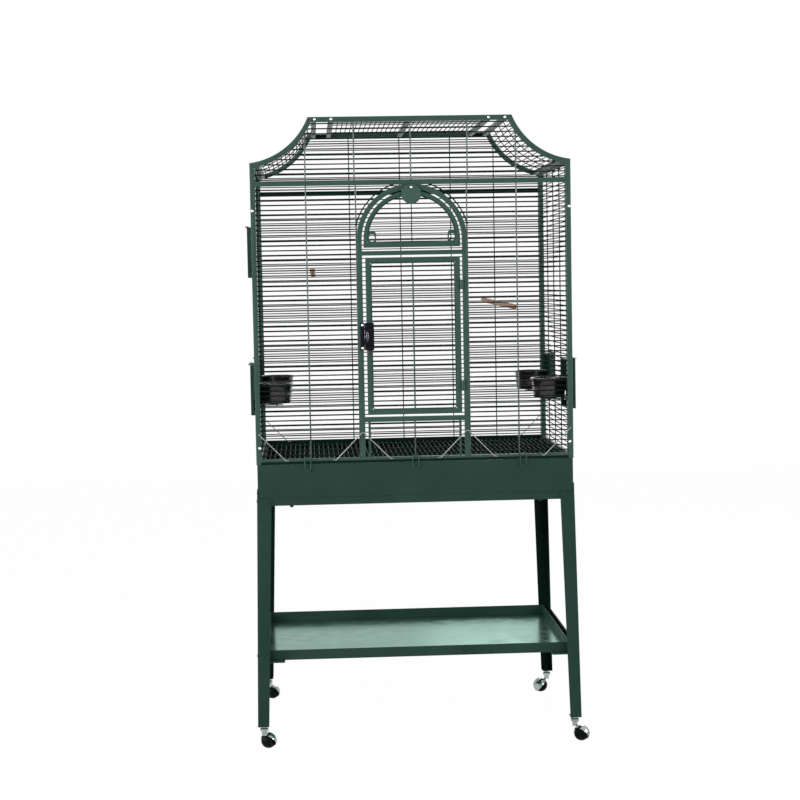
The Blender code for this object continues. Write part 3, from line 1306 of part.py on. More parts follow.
def make_shelf_support(side, paint):
    """An angle between a front and a back leg that carries one end of the shelf."""
    label = "left" if side < 0 else "right"
    top = SHELF_FLOOR - GAP
    outer = HALF_WIDTH + leg_outer(SHELF_FLOOR) - SHEET - 2 * GAP
    edge = outer - LEG_WIDTH_BOTTOM * 0.85
    inner = edge - SUPPORT_WIDTH
    profile = [(inner, top - SUPPORT_THICKNESS), (inner, top), (outer - SUPPORT_THICKNESS, top),
               (outer - SUPPORT_THICKNESS, top + SUPPORT_HEIGHT), (outer, top + SUPPORT_HEIGHT),
               (outer, top - SUPPORT_THICKNESS)]
    lean = leg_outer(SHELF_FLOOR) - leg_outer(SHELF_FLOOR + SUPPORT_HEIGHT)
    outline = [(side * (x - (lean if z > top else 0.0)), z) for x, z in profile]
    reach = HALF_DEPTH + leg_outer(SHELF_FLOOR + SUPPORT_HEIGHT) - 2 * GAP
    shape = add_prism(bmesh.new(), "Y", outline, -reach, reach)
    return finish_mesh(f"shelf_support_{label}", shape, paint)


def make_caster(side_x, side_y, label, steel, rubber):
    """A ball caster: a hub and open hood that swivel, and a ball that turns in it."""
    x, y = caster_axis(side_x, side_y)
    turn = CASTER_TURNS[label]
    swivel = Matrix.Translation((x, y, 0.0)) @ Matrix.Rotation(turn, 4, "Z")
    ball_centre = swivel @ Matrix.Translation((CASTER_TRAIL, 0.0, BALL_RADIUS))
    hood_inner = BALL_RADIUS + HOOD_GAP
    hood_outer = hood_inner + HOOD_WALL
    rings = BALL_RINGS
    angles = [math.pi / 2 * index / rings for index in range(rings + 1)]
    outside = [(hood_outer * math.sin(angle), hood_outer * math.cos(angle)) for angle in angles]
    inside = [(hood_inner * math.sin(angle), hood_inner * math.cos(angle)) for angle in reversed(angles)]
    outside[0] = (0.0, hood_outer)
    inside[-1] = (0.0, hood_inner)
    tilt = Matrix.Rotation(HOOD_TILT, 4, "Y")
    shape = add_turned(bmesh.new(), outside + inside, BALL_SEGMENTS, ball_centre @ tilt)
    hood = finish_mesh(f"caster_hood_{label}", shape, steel, (x, y, 0.0), smooth=True)
    hub_top = LEG_BOTTOM - 2 * GAP
    near = CASTER_TRAIL - HUB_RADIUS * 0.62
    hub_low = BALL_RADIUS + math.sqrt(hood_inner ** 2 - near ** 2) + 2 * GAP
    hub = [(0.0, hub_top), (NUT_RADIUS, hub_top), (NUT_RADIUS, hub_top - NUT_HEIGHT),
           (HUB_RADIUS, hub_top - NUT_HEIGHT), (HUB_RADIUS, hub_top - NUT_HEIGHT - HUB_HEIGHT),
           (HUB_RADIUS * 0.62, hub_top - NUT_HEIGHT - HUB_HEIGHT), (HUB_RADIUS * 0.62, hub_low),
           (0.0, hub_low)]
    join(hood, add_turned(bmesh.new(), hub, HINGE_SEGMENTS, swivel), "hub")
    side_turn = Matrix.Rotation(math.pi / 2, 4, "X")
    wheel_place = ball_centre @ side_turn
    profile = [(0.0, BALL_FLAT)]
    start = math.acos(BALL_FLAT / BALL_RADIUS)
    for index in range(BALL_RINGS + 1):
        angle = start + (math.pi - 2 * start) * index / BALL_RINGS
        profile.append((BALL_RADIUS * math.sin(angle), BALL_RADIUS * math.cos(angle)))
    profile.append((0.0, -BALL_FLAT))
    centre = ball_centre.to_translation()
    shape = add_turned(bmesh.new(), profile, BALL_SEGMENTS, wheel_place)
    ball = finish_mesh(f"caster_ball_{label}", shape, rubber, centre, smooth=True)
    return [hood, ball]


def build():
    clear_scene()
    paint = make_material("green_powder_coat", (0.030, 0.068, 0.056), 0.42)
    steel = make_material("bright_steel", (0.62, 0.64, 0.64), 0.22, 1.0)
    chrome = make_material("dark_chrome", (0.32, 0.35, 0.35), 0.18, 1.0)
    plastic = make_material("black_plastic", (0.012, 0.012, 0.016), 0.22)
    rubber = make_material("caster_tread", (0.010, 0.011, 0.012), 0.40)
    wood = make_material("perch_wood", (0.42, 0.24, 0.16), 0.62)

    make_front_frame(paint)
    make_front_mat(-1, paint)
    make_front_mat(1, paint)
    make_head_mat(paint)
    make_filler_mat(paint)
    make_main_door(paint)
    make_hinge_pins(steel)
    make_arch_door(paint)
    make_arch_pins(steel)
    make_latch_disc(paint)
    make_lock(plastic)
    make_back_panel(paint)
    make_top_panel(paint)
    make_base_wall_back(paint)
    make_tray(paint)
    make_grate(paint)
    make_shelf(paint)
    for side in (-1, 1):
        make_side_panel(side, paint)
        make_curve_panel(side, paint)
        make_base_wall_side(side, paint)
        make_shelf_support(side, paint)
        for y, bottom, label in hatches_of(side):
            make_feeder_door(side, y, bottom, label, paint)
            if bottom == HATCH_LOW_BOTTOM:
                make_cup(side, y, label, plastic)
    make_perch("left", PERCH_LEFT_FRONT, PERCH_LEFT_BACK, wood)
    make_perch("right", PERCH_RIGHT_FRONT, PERCH_RIGHT_BACK, wood)
    post = HALF_WIDTH - TUBE / 2
    door_post = SURROUND - TUBE / 2
    make_stay("stay_corner_left", -post, (1,), steel)
    make_stay("stay_door_left", -door_post, (-1, 1), steel)
    make_stay("stay_door_right", door_post, (-1, 1), steel)
    make_stay("stay_corner_right", post, (-1,), steel)
    for label, side in (("front", -1), ("back", 1), ("left", -1), ("right", 1)):
        make_stand_rail(label, side, paint)
    for side_x, side_y, label in ((-1, -1, "front_left"), (1, -1, "front_right"),
                                  (-1, 1, "back_left"), (1, 1, "back_right")):
        make_leg(side_x, side_y, label, paint)
        make_caster(side_x, side_y, label, chrome, rubber)
    tidy_faces()


build()
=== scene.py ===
"""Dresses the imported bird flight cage: round wires, rounded tubes, finishes, camera and light."""

import math

import bmesh
import bpy
from mathutils import Matrix, Vector


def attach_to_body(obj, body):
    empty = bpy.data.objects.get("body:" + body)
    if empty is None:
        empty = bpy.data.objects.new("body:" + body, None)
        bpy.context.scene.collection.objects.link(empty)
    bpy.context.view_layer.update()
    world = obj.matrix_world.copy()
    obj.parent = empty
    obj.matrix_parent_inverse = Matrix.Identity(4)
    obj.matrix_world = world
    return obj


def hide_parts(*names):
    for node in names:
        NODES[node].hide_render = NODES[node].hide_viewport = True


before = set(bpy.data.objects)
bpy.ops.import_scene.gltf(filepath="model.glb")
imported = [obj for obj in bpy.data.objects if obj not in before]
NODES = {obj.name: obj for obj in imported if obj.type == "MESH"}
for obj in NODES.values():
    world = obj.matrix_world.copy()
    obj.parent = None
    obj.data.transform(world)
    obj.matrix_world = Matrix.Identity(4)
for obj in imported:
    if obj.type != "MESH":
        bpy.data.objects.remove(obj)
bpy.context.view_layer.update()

# Sizes shared with the frame, in metres
TUBE = 0.0127
HALF_TUBE = TUBE / 2
HALF = 0.4065
POST_X = HALF - HALF_TUBE
FRONT = -0.2665
BACK = 0.2665
PANEL_BOTTOM = 0.7363
RAIL_TOP = 0.7490
FRONT_RAIL = (0.74295, 0.74995)
SHOULDER = 1.5000
CROSSBAR = (1.4412, 1.4539)
CURVE_RADIUS = 0.185
CURVE_MIDDLE = CURVE_RADIUS + HALF_TUBE
CURVE_INSIDE = CURVE_RADIUS + TUBE
CURVE_LOW = math.radians(7.0)
CURVE_X = HALF + CURVE_RADIUS * math.sin(CURVE_LOW)
CURVE_Z = SHOULDER + CURVE_RADIUS * math.cos(CURVE_LOW)
TOP = CURVE_Z - CURVE_RADIUS * math.cos(math.radians(67.6))
CURVE_HIGH = math.acos((CURVE_Z - TOP + HALF_TUBE) / CURVE_MIDDLE)
CURVE_STEEP = math.radians(66.0)
SPRING = 1.3027
SURROUND = 0.1400
SURROUND_INNER = SURROUND - TUBE
TRANSOM = (1.2634, 1.2746)
SILL = (0.8400, 0.8527)

# A bar runs BUTT into the tube it meets, HAIR keeps crossing faces apart, GAP parts two pieces
BUTT = 0.001
HAIR = 0.0001
GAP = 0.0003

# Wires: their pitch, their thickness by mat, and where the layers and uprights stand
PITCH = 0.0127
FIRST_ROW = RAIL_TOP + 0.75 * PITCH
BACK_ROW_DROP = 0.0033
DOOR_ROW_DROP = 0.0054
ROW_CLEARANCE = 0.0025
WIRE_RADIUS = 0.00125
FRONT_MAT_RADIUS = 0.00165
BACK_MAT_RADIUS = 0.0014
WEAVE = 0.0014
FRONT_ROW_Y = -0.25875
FRONT_POST_Y = -0.26155
SIDE_DEPTH = 0.2535
SIDE_ROW_X = 0.40155
SIDE_UPRIGHT_X = 0.39875
TOP_BAR_X = 0.1990
CURVE_BAR_X = 0.2420
SIDE_UPRIGHT_Y = 0.1140
FRONT_UPRIGHT_X = 0.2670
DOORWAY_WIRE_X = 0.1410
BACK_WIRE_X = 0.1435
ARCH_WIRE = 0.1462
UPRIGHTS = (-FRONT_UPRIGHT_X, -BACK_WIRE_X, 0.0, BACK_WIRE_X, FRONT_UPRIGHT_X)
FILLER_X = 0.1163
EDGE_WIRE_Y = FRONT_POST_Y - 0.0002
EDGE_WIRE_INSET = 0.0013

# Ways that a fastener faces
FORWARD = (0, -1, 0)
BACKWARD = (0, 1, 0)
DOWN = (0, 0, -1)


# Each view places a flat (u, v) outline at a depth t
def front_view(u, v, t):
    return Vector((u, t, v))


def side_view(u, v, t):
    return Vector((t, u, v))


def plan_view(u, v, t):
    return Vector((u, v, t))


# Node groups that the finishes share
def link(tree, source, target):
    """Lead a node's output into another node's input."""
    tree.links.new(source, target)


def new_group(name, inputs, outputs):
    """An empty shader group with (label, kind, default) inputs and (label, kind) outputs."""
    tree = bpy.data.node_groups.new(name, "ShaderNodeTree")
    for label, kind, value in inputs:
        socket = tree.interface.new_socket(label, in_out="INPUT", socket_type=kind)
        socket.default_value = value
    for label, kind in outputs:
        tree.interface.new_socket(label, in_out="OUTPUT", socket_type=kind)
    return tree, tree.nodes.new("NodeGroupInput"), tree.nodes.new("NodeGroupOutput")


def feed(tree, socket, term):
    """Set a socket to a plain number, or link another socket to it."""
    if isinstance(term, (int, float)):
        socket.default_value = term
    else:
        link(tree, term, socket)


def noise_node(tree, coordinates, scale, detail, roughness=0.5):
    noise = tree.nodes.new("ShaderNodeTexNoise")
    noise.inputs["Detail"].default_value = detail
    noise.inputs["Roughness"].default_value = roughness
    link(tree, coordinates, noise.inputs["Vector"])
    feed(tree, noise.inputs["Scale"], scale)
    return noise.outputs["Fac"]


def map_range(tree, value, low, high, from_low=0.3, from_high=0.7):
    """Stretch a value over a new range; by default it is a noise, mostly between 0.3 and 0.7."""
    node = tree.nodes.new("ShaderNodeMapRange")
    for name, term in (("Value", value), ("From Min", from_low), ("From Max", from_high),
                       ("To Min", low), ("To Max", high)):
        feed(tree, node.inputs[name], term)
    return node.outputs["Result"]


def math_node(tree, operation, *terms):
    node = tree.nodes.new("ShaderNodeMath")
    node.operation = operation
    for socket, term in zip(node.inputs, terms):
        feed(tree, socket, term)
    return node.outputs[0]


def shaded(tree, source, pattern):
    """The finish's colour, a little lighter or darker by a pattern."""
    shade = math_node(tree, "MULTIPLY_ADD", map_range(tree, pattern, -1.0, 1.0),
                      source.outputs["Shade spread"], 1.0)
    tint = tree.nodes.new("ShaderNodeVectorMath")
    tint.operation = "SCALE"
    link(tree, source.outputs["Colour"], tint.inputs[0])
    link(tree, shade, tint.inputs["Scale"])
    return tint.outputs[0]


def bumped(tree, height, depth):
    """A normal that follows a height, as deep as a number or socket says."""
    bump = tree.nodes.new("ShaderNodeBump")
    bump.inputs["Strength"].default_value = 1.0
    feed(tree, bump.inputs["Distance"], depth)
    link(tree, height, bump.inputs["Height"])
    return bump.outputs["Normal"]


def stretched(tree, place, scale, rotation=(0.0, 0.0, 0.0)):
    """Coordinates that draw a pattern out along one direction."""
    stretch = tree.nodes.new("ShaderNodeMapping")
    stretch.inputs["Scale"].default_value = scale
    stretch.inputs["Rotation"].default_value = rotation
    link(tree, place, stretch.inputs["Vector"])
    return stretch.outputs["Vector"]


DUST_COLOUR = (0.55, 0.56, 0.54, 1)


def build_coating_group():
    """Powder coat: slow shade changes, faint dust on top faces and a fine orange peel."""
    tree, source, sink = new_group(
        "coating",
        [("Colour", "NodeSocketColor", (0.02, 0.05, 0.04, 1)), ("Shade spread", "NodeSocketFloat", 0.12),
         ("Roughness", "NodeSocketFloat", 0.36), ("Roughness spread", "NodeSocketFloat", 0.08),
         ("Peel size", "NodeSocketFloat", 420.0), ("Peel depth", "NodeSocketFloat", 0.00004),
         ("Dust", "NodeSocketFloat", 0.03)],
        [("Colour", "NodeSocketColor"), ("Roughness", "NodeSocketFloat"), ("Normal", "NodeSocketVector")])
    place = tree.nodes.new("ShaderNodeTexCoord").outputs["Object"]
    split = tree.nodes.new("ShaderNodeSeparateXYZ")
    link(tree, tree.nodes.new("ShaderNodeNewGeometry").outputs["Normal"], split.inputs[0])
    upward = map_range(tree, split.outputs["Z"], 0.0, 1.0, 0.6, 1.0)
    speck = map_range(tree, noise_node(tree, place, 60.0, 5.0), 0.0, 1.0, 0.42, 0.7)
    dusty = math_node(tree, "MULTIPLY", upward, speck)
    mix = tree.nodes.new("ShaderNodeMix")
    mix.data_type = "RGBA"
    link(tree, math_node(tree, "MULTIPLY", dusty, source.outputs["Dust"]), mix.inputs["Factor"])
    link(tree, shaded(tree, source, noise_node(tree, place, 7.0, 4.0)), mix.inputs[6])
    mix.inputs[7].default_value = DUST_COLOUR
    link(tree, mix.outputs[2], sink.inputs["Colour"])
    sheen = map_range(tree, noise_node(tree, place, 23.0, 3.0), -1.0, 1.0)
    link(tree, math_node(tree, "MULTIPLY_ADD", sheen, source.outputs["Roughness spread"],
                         source.outputs["Roughness"]), sink.inputs["Roughness"])
    peel = noise_node(tree, place, source.outputs["Peel size"], 1.5)
    link(tree, bumped(tree, peel, source.outputs["Peel depth"]), sink.inputs["Normal"])
    return tree


def build_scuff_group():
    """Handled metal or plastic: fine scratches in the gloss and smudged patches."""
    tree, source, sink = new_group(
        "scuffs",
        [("Colour", "NodeSocketColor", (0.5, 0.5, 0.5, 1)), ("Shade spread", "NodeSocketFloat", 0.1),
         ("Roughness", "NodeSocketFloat", 0.2), ("Smudge", "NodeSocketFloat", 0.1),
         ("Scratch depth", "NodeSocketFloat", 0.00001)],
        [("Colour", "NodeSocketColor"), ("Roughness", "NodeSocketFloat"), ("Normal", "NodeSocketVector")])
    place = tree.nodes.new("ShaderNodeTexCoord").outputs["Object"]
    patch = noise_node(tree, place, 45.0, 4.0)
    link(tree, shaded(tree, source, patch), sink.inputs["Colour"])
    smudge = map_range(tree, patch, 0.0, 1.0)
    link(tree, math_node(tree, "MULTIPLY_ADD", smudge, source.outputs["Smudge"],
                         source.outputs["Roughness"]), sink.inputs["Roughness"])
    along = stretched(tree, place, (3.0, 3.0, 0.25), (0.3, 0.9, 0.2))
    scratch = noise_node(tree, along, 380.0, 3.0, 0.7)
    link(tree, bumped(tree, scratch, source.outputs["Scratch depth"]), sink.inputs["Normal"])
    return tree


COATING = build_coating_group()
SCUFFS = build_scuff_group()


def make_finish(name, group, values, metallic=0.0, coat=0.0, level=0.5, tint=(1.0, 1.0, 1.0)):
    """A material from a shared group; what is the same all over goes on the shader itself."""
    material = bpy.data.materials.new(name)
    material.use_nodes = True
    tree = material.node_tree
    shader = tree.nodes["Principled BSDF"]
    shader.inputs["Metallic"].default_value = metallic
    shader.inputs["Coat Weight"].default_value = coat
    shader.inputs["Coat Roughness"].default_value = 0.1
    shader.inputs["Specular IOR Level"].default_value = level
    shader.inputs["Specular Tint"].default_value = (*tint, 1.0)
    node = tree.nodes.new("ShaderNodeGroup")
    node.node_tree = group
    for key, value in values.items():
        node.inputs[key].default_value = value
    for output, socket in (("Colour", "Base Color"), ("Roughness", "Roughness"), ("Normal", "Normal")):
        link(tree, node.outputs[output], shader.inputs[socket])
    return material


def colour(red, green, blue):
    """An sRGB colour from 0 to 255, as the linear value a socket takes."""
    linear = []
    for part in (red, green, blue):
        part /= 255.0
        linear.append(part / 12.92 if part <= 0.04045 else ((part + 0.055) / 1.055) ** 2.4)
    return (*linear, 1.0)


def make_wood():
    """Turned hardwood: long grain lines along the dowel with darker pores."""
    material = bpy.data.materials.new("perch wood")
    material.use_nodes = True
    tree = material.node_tree
    shader = tree.nodes["Principled BSDF"]
    place = tree.nodes.new("ShaderNodeTexCoord").outputs["Object"]
    grain = noise_node(tree, stretched(tree, place, (1.0, 0.06, 1.0)), 420.0, 5.0, 0.62)
    ramp = tree.nodes.new("ShaderNodeValToRGB")
    pore, ground = ramp.color_ramp.elements
    pore.position, pore.color = 0.30, colour(128, 88, 66)
    ground.position, ground.color = 0.72, colour(206, 165, 136)
    link(tree, grain, ramp.inputs["Fac"])
    link(tree, ramp.outputs["Color"], shader.inputs["Base Color"])
    link(tree, map_range(tree, grain, 0.75, 0.5), shader.inputs["Roughness"])
    link(tree, bumped(tree, grain, 0.0002), shader.inputs["Normal"])
    return material


# Finishes
TUBE_COAT = make_finish("green tube coat", COATING, {
    "Colour": colour(50, 76, 68), "Roughness": 0.38}, level=0.16)
SHEET_COAT = make_finish("green sheet coat", COATING, {
    "Colour": colour(36, 60, 53), "Roughness": 0.45, "Peel size": 300.0, "Peel depth": 0.00005,
    "Shade spread": 0.14}, level=0.1)
# The green coat made much darker on the wires, as painted shade.
PAINTED_SHADE_WIRE_COAT = make_finish("green wire coat with painted shade", COATING, {
    "Colour": colour(14, 30, 25), "Roughness": 0.45, "Peel depth": 0.00001, "Dust": 0.0}, level=0.05)
# The green coat, lighter than on the other wires, as a painted highlight on the front uprights; its stronger gloss
# is the shader's own.
PAINTED_HIGHLIGHT_UPRIGHT_COAT = make_finish("green upright coat with painted highlight", COATING, {
    "Colour": colour(30, 52, 45), "Roughness": 0.28, "Peel depth": 0.00001, "Dust": 0.0}, level=0.6)
# The front legs' coat; the back legs take the darker coat with painted shade.
LEG_COAT = make_finish("green leg coat", COATING, {
    "Colour": colour(34, 59, 52), "Roughness": 0.45, "Peel size": 300.0,
    "Peel depth": 0.00005}, level=0.08)
# The green coat made much darker, as painted shade: the back tubes, the grate's edge bars and the back legs wear
# it.
PAINTED_SHADE_COAT = make_finish("green coat with painted shade", COATING, {
    "Colour": colour(10, 32, 26), "Roughness": 0.5, "Dust": 0.0}, level=0.04)
# The green coat made darker on the grate, as painted shade.
PAINTED_SHADE_GRATE_COAT = make_finish("green grate coat with painted shade", COATING, {
    "Colour": colour(16, 40, 33), "Roughness": 0.5, "Peel depth": 0.00001, "Dust": 0.0}, level=0.03)
DISC_COAT = make_finish("green plate coat", COATING, {
    "Colour": colour(56, 82, 73), "Roughness": 0.38, "Shade spread": 0.08}, level=0.2)
SHELF_COAT = make_finish("green shelf coat", COATING, {
    "Colour": colour(74, 112, 98), "Roughness": 0.2, "Roughness spread": 0.05, "Peel size": 160.0,
    "Peel depth": 0.0001, "Dust": 0.1}, metallic=0.75, level=1.0, tint=(0.78, 1.0, 0.93))
STEEL = make_finish("plain steel rod", SCUFFS, {
    "Colour": colour(150, 156, 154), "Roughness": 0.26, "Smudge": 0.12}, metallic=1.0)
SCREW = make_finish("zinc screw", SCUFFS, {
    "Colour": colour(220, 222, 220), "Roughness": 0.28, "Smudge": 0.15,
    "Scratch depth": 0.00003}, metallic=1.0)
SCREW_DARK = make_finish("dark bolt", SCUFFS, {
    "Colour": colour(24, 30, 28), "Roughness": 0.4, "Smudge": 0.15, "Scratch depth": 0.00003}, level=0.15)
CHROME = make_finish("chromed caster", SCUFFS, {
    "Colour": colour(150, 160, 156), "Shade spread": 0.35, "Roughness": 0.06,
    "Smudge": 0.10}, metallic=1.0)
TREAD = make_finish("black caster tread", SCUFFS, {
    "Colour": colour(5, 9, 8), "Roughness": 0.4, "Smudge": 0.1, "Scratch depth": 0.00004}, level=0.06)
BLACK = make_finish("glossy black plastic", SCUFFS, {
    "Colour": colour(34, 26, 32), "Roughness": 0.14, "Smudge": 0.1}, coat=0.4)
LOCK_BLACK = make_finish("black lock plastic", SCUFFS, {
    "Colour": colour(8, 8, 18), "Roughness": 0.36, "Smudge": 0.15, "Scratch depth": 0.00003}, level=0.1)
# The knob's dark blue is a painted reflection of bluish light; its coat and gloss are the shader's own.
KNOB_PAINTED_REFLECTION = make_finish("knob with painted blue reflection", SCUFFS, {
    "Colour": colour(18, 34, 62), "Roughness": 0.14, "Smudge": 0.06}, coat=0.4)
PIN_ORANGE = make_finish("copper lock pin", SCUFFS, {
    "Colour": colour(160, 74, 40), "Roughness": 0.35, "Smudge": 0.2}, metallic=0.5)
WOOD = make_wood()


# Mesh helpers
BEVEL_ANGLE = math.radians(35.0)
MERGE_DISTANCE = 0.000002
FLAT_ANGLE = math.radians(0.5)
TUBE_CORNER = 0.0016
CORNER_STEPS = 3
MITRE_LIMIT = 0.4


def attach(piece, body, replaces):
    """Let a piece ride on a body and the frame nodes that it stands for."""
    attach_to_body(piece, body)
    if replaces:
        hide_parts(*replaces)
    return piece


def finish(name, shape, material, body, replaces=(), angle=35.0, bevel=0.0):
    """Make a piece of a bmesh in frame coordinates and let it ride on a body."""
    bmesh.ops.recalc_face_normals(shape, faces=shape.faces[:])
    mesh = bpy.data.meshes.new(name)
    shape.to_mesh(mesh)
    shape.free()
    return finish_mesh(name, mesh, material, body, replaces, angle, bevel)


def finish_mesh(name, mesh, material, body, replaces, angle, bevel):
    """Give a mesh its finish, sharp edges and rounding, and let it ride on a body."""
    mesh.materials.clear()
    mesh.materials.append(material)
    mesh.shade_smooth()
    mesh.set_sharp_from_angle(angle=math.radians(angle))
    piece = bpy.data.objects.new(name, mesh)
    bpy.context.scene.collection.objects.link(piece)
    if bevel:
        modifier = piece.modifiers.new("edges", "BEVEL")
        modifier.width = bevel
        modifier.segments = 2
        modifier.limit_method = "ANGLE"
        modifier.angle_limit = BEVEL_ANGLE
        modifier.use_clamp_overlap = True
    return attach(piece, body, replaces)


def soft_copy(node, name, material, body, bevel):
    """A copy of a frame piece with its folds and edges rounded."""
    mesh = NODES[node].data.copy()
    shape = bmesh.new()
    shape.from_mesh(mesh)
    bmesh.ops.remove_doubles(shape, verts=shape.verts[:], dist=MERGE_DISTANCE)
    bmesh.ops.dissolve_limit(shape, angle_limit=FLAT_ANGLE, verts=shape.verts[:], edges=shape.edges[:])
    shape.to_mesh(mesh)
    shape.free()
    return finish_mesh(name, mesh, material, body, (node,), 35.0, bevel)


def join_rings(shape, one, two):
    """Faces between two rings that have as many points."""
    for index in range(len(one)):
        following = (index + 1) % len(one)
        shape.faces.new((one[index], one[following], two[following], two[index]))


def add_box(shape, low, high):
    corners = []
    for z in (low[2], high[2]):
        ring = [(low[0], low[1], z), (high[0], low[1], z), (high[0], high[1], z), (low[0], high[1], z)]
        corners.append([shape.verts.new(point) for point in ring])
    bottom, top = corners
    shape.faces.new(bottom)
    shape.faces.new(list(reversed(top)))
    join_rings(shape, bottom, top)


def add_ring_slab(shape, outer, inner, low, high, place):
    """A flat plate with one opening; both outlines have as many points."""
    outer_low, outer_high, inner_low, inner_high = [
        [shape.verts.new(place(u, v, t)) for u, v in loop] for loop in (outer, inner) for t in (low, high)]
    for index in range(len(outer)):
        following = (index + 1) % len(outer)
        for one, two in ((outer_low, inner_low), (inner_low, inner_high), (inner_high, outer_high),
                         (outer_high, outer_low)):
            shape.faces.new((one[index], one[following], two[following], two[index]))


def tube_profile(half_across, half_deep, radius):
    """A square tube's section with rounded corners, as (across, deep) points."""
    radius = min(radius, half_across * 0.9, half_deep * 0.9)
    points = []
    for quarter, (sign_a, sign_d) in enumerate(((1, 1), (-1, 1), (-1, -1), (1, -1))):
        for index in range(CORNER_STEPS + 1):
            angle = math.pi / 2 * (quarter + index / CORNER_STEPS)
            points.append((sign_a * (half_across - radius) + radius * math.cos(angle),
                           sign_d * (half_deep - radius) + radius * math.sin(angle)))
    return points


def add_tube(shape, path, half_across, half_deep, middle, place, closed=False, radius=TUBE_CORNER):
    """Sweep a tube section along a flat path with mitred corners."""
    profile = tube_profile(half_across, half_deep, radius)
    count = len(path)
    rings = []
    for index, (u, v) in enumerate(path):
        legs = []
        if closed or index > 0:
            before = path[index - 1]
            legs.append(Vector((u - before[0], v - before[1])).normalized())
        if closed or index < count - 1:
            after = path[(index + 1) % count]
            legs.append(Vector((after[0] - u, after[1] - v)).normalized())
        run = (legs[0] + legs[-1]).normalized()
        stretch = 1.0 / max(MITRE_LIMIT, run.dot(legs[0]))
        across = Vector((-run.y, run.x)) * stretch
        rings.append([shape.verts.new(place(u + across.x * a, v + across.y * a, middle + d))
                      for a, d in profile])
    pairs = list(zip(rings, rings[1:]))
    if closed:
        pairs.append((rings[-1], rings[0]))
    else:
        shape.faces.new(rings[0])
        shape.faces.new(list(reversed(rings[-1])))
    for one, two in pairs:
        join_rings(shape, one, two)


def add_turned(shape, profile, place, segments=32):
    """Turn (radius, height) points round Z and place the result; a radius of zero is a pole."""
    rings = []
    for radius, height in profile:
        angles = [2 * math.pi * index / segments for index in range(segments)] if radius else [0.0]
        rings.append([shape.verts.new(place @ Vector((radius * math.cos(angle), radius * math.sin(angle),
                                                      height))) for angle in angles])
    pairs = list(zip(rings, rings[1:]))
    if profile[0][0] and profile[-1][0]:
        pairs.append((rings[-1], rings[0]))
    for one, two in pairs:
        if len(one) == len(two):
            join_rings(shape, one, two)
            continue
        for index in range(segments):
            following = (index + 1) % segments
            if len(one) == 1:
                shape.faces.new((one[0], two[following], two[index]))
            else:
                shape.faces.new((one[index], one[following], two[0]))


def at(x, y, z):
    return Matrix.Translation((x, y, z))


# Turn a shape's height towards the viewer
FACE_FRONT = Matrix.Rotation(math.pi / 2, 4, "X")


def arc(centre_u, centre_v, radius, start, end, steps):
    """Points on a circle, from one angle to another."""
    points = []
    for index in range(steps + 1):
        angle = start + (end - start) * index / steps
        points.append((centre_u + radius * math.cos(angle), centre_v + radius * math.sin(angle)))
    return points


def curve_at(radius, side, angle):
    """A point of the inward shoulder curve; the angle runs from the shoulder up."""
    return (side * (CURVE_X - radius * math.sin(angle)), CURVE_Z - radius * math.cos(angle))


def curve_path(radius, side, start, end, steps=28):
    return [curve_at(radius, side, start + (end - start) * index / steps) for index in range(steps + 1)]


# Geometry node trees for what repeats or follows a path
def tree_with(name, sockets):
    """The start of a geometry tree: geometry in and out, and its other inputs."""
    tree = bpy.data.node_groups.new(name, "GeometryNodeTree")
    tree.interface.new_socket("Geometry", in_out="INPUT", socket_type="NodeSocketGeometry")
    for label, kind, value in sockets:
        socket = tree.interface.new_socket(label, in_out="INPUT", socket_type=kind)
        if value is not None:
            socket.default_value = value
    tree.interface.new_socket("Geometry", in_out="OUTPUT", socket_type="NodeSocketGeometry")
    return tree, tree.nodes.new("NodeGroupInput"), tree.nodes.new("NodeGroupOutput")


def end_tree(tree, geometry, source, sink):
    """Realize, smooth and paint the geometry, so that plain mesh comes out."""
    smooth = tree.nodes.new("GeometryNodeSetShadeSmooth")
    realize = tree.nodes.new("GeometryNodeRealizeInstances")
    paint = tree.nodes.new("GeometryNodeSetMaterial")
    link(tree, geometry, realize.inputs["Geometry"])
    link(tree, realize.outputs["Geometry"], smooth.inputs["Geometry"])
    link(tree, smooth.outputs["Geometry"], paint.inputs["Geometry"])
    link(tree, source.outputs["Finish"], paint.inputs["Material"])
    link(tree, paint.outputs["Geometry"], sink.inputs["Geometry"])


def build_wire_tree():
    """Sweep a round section along every line of a mesh, with filleted bends."""
    tree, source, sink = tree_with("swept wires", [
        ("Wire radius", "NodeSocketFloat", WIRE_RADIUS), ("Sides", "NodeSocketInt", 8),
        ("Bend radius", "NodeSocketFloat", 0.0), ("Finish", "NodeSocketMaterial", None)])
    lines = tree.nodes.new("GeometryNodeMeshToCurve")
    fillet = tree.nodes.new("GeometryNodeFilletCurve")
    fillet.mode = "POLY"
    fillet.inputs["Count"].default_value = 5
    fillet.inputs["Limit Radius"].default_value = True
    section = tree.nodes.new("GeometryNodeCurvePrimitiveCircle")
    sweep = tree.nodes.new("GeometryNodeCurveToMesh")
    sweep.inputs["Fill Caps"].default_value = True
    link(tree, source.outputs["Geometry"], lines.inputs["Mesh"])
    link(tree, lines.outputs["Curve"], fillet.inputs["Curve"])
    link(tree, source.outputs["Bend radius"], fillet.inputs["Radius"])
    link(tree, source.outputs["Sides"], section.inputs["Resolution"])
    link(tree, source.outputs["Wire radius"], section.inputs["Radius"])
    link(tree, fillet.outputs["Curve"], sweep.inputs["Curve"])
    link(tree, section.outputs["Curve"], sweep.inputs["Profile Curve"])
    end_tree(tree, sweep.outputs["Mesh"], source, sink)
    return tree


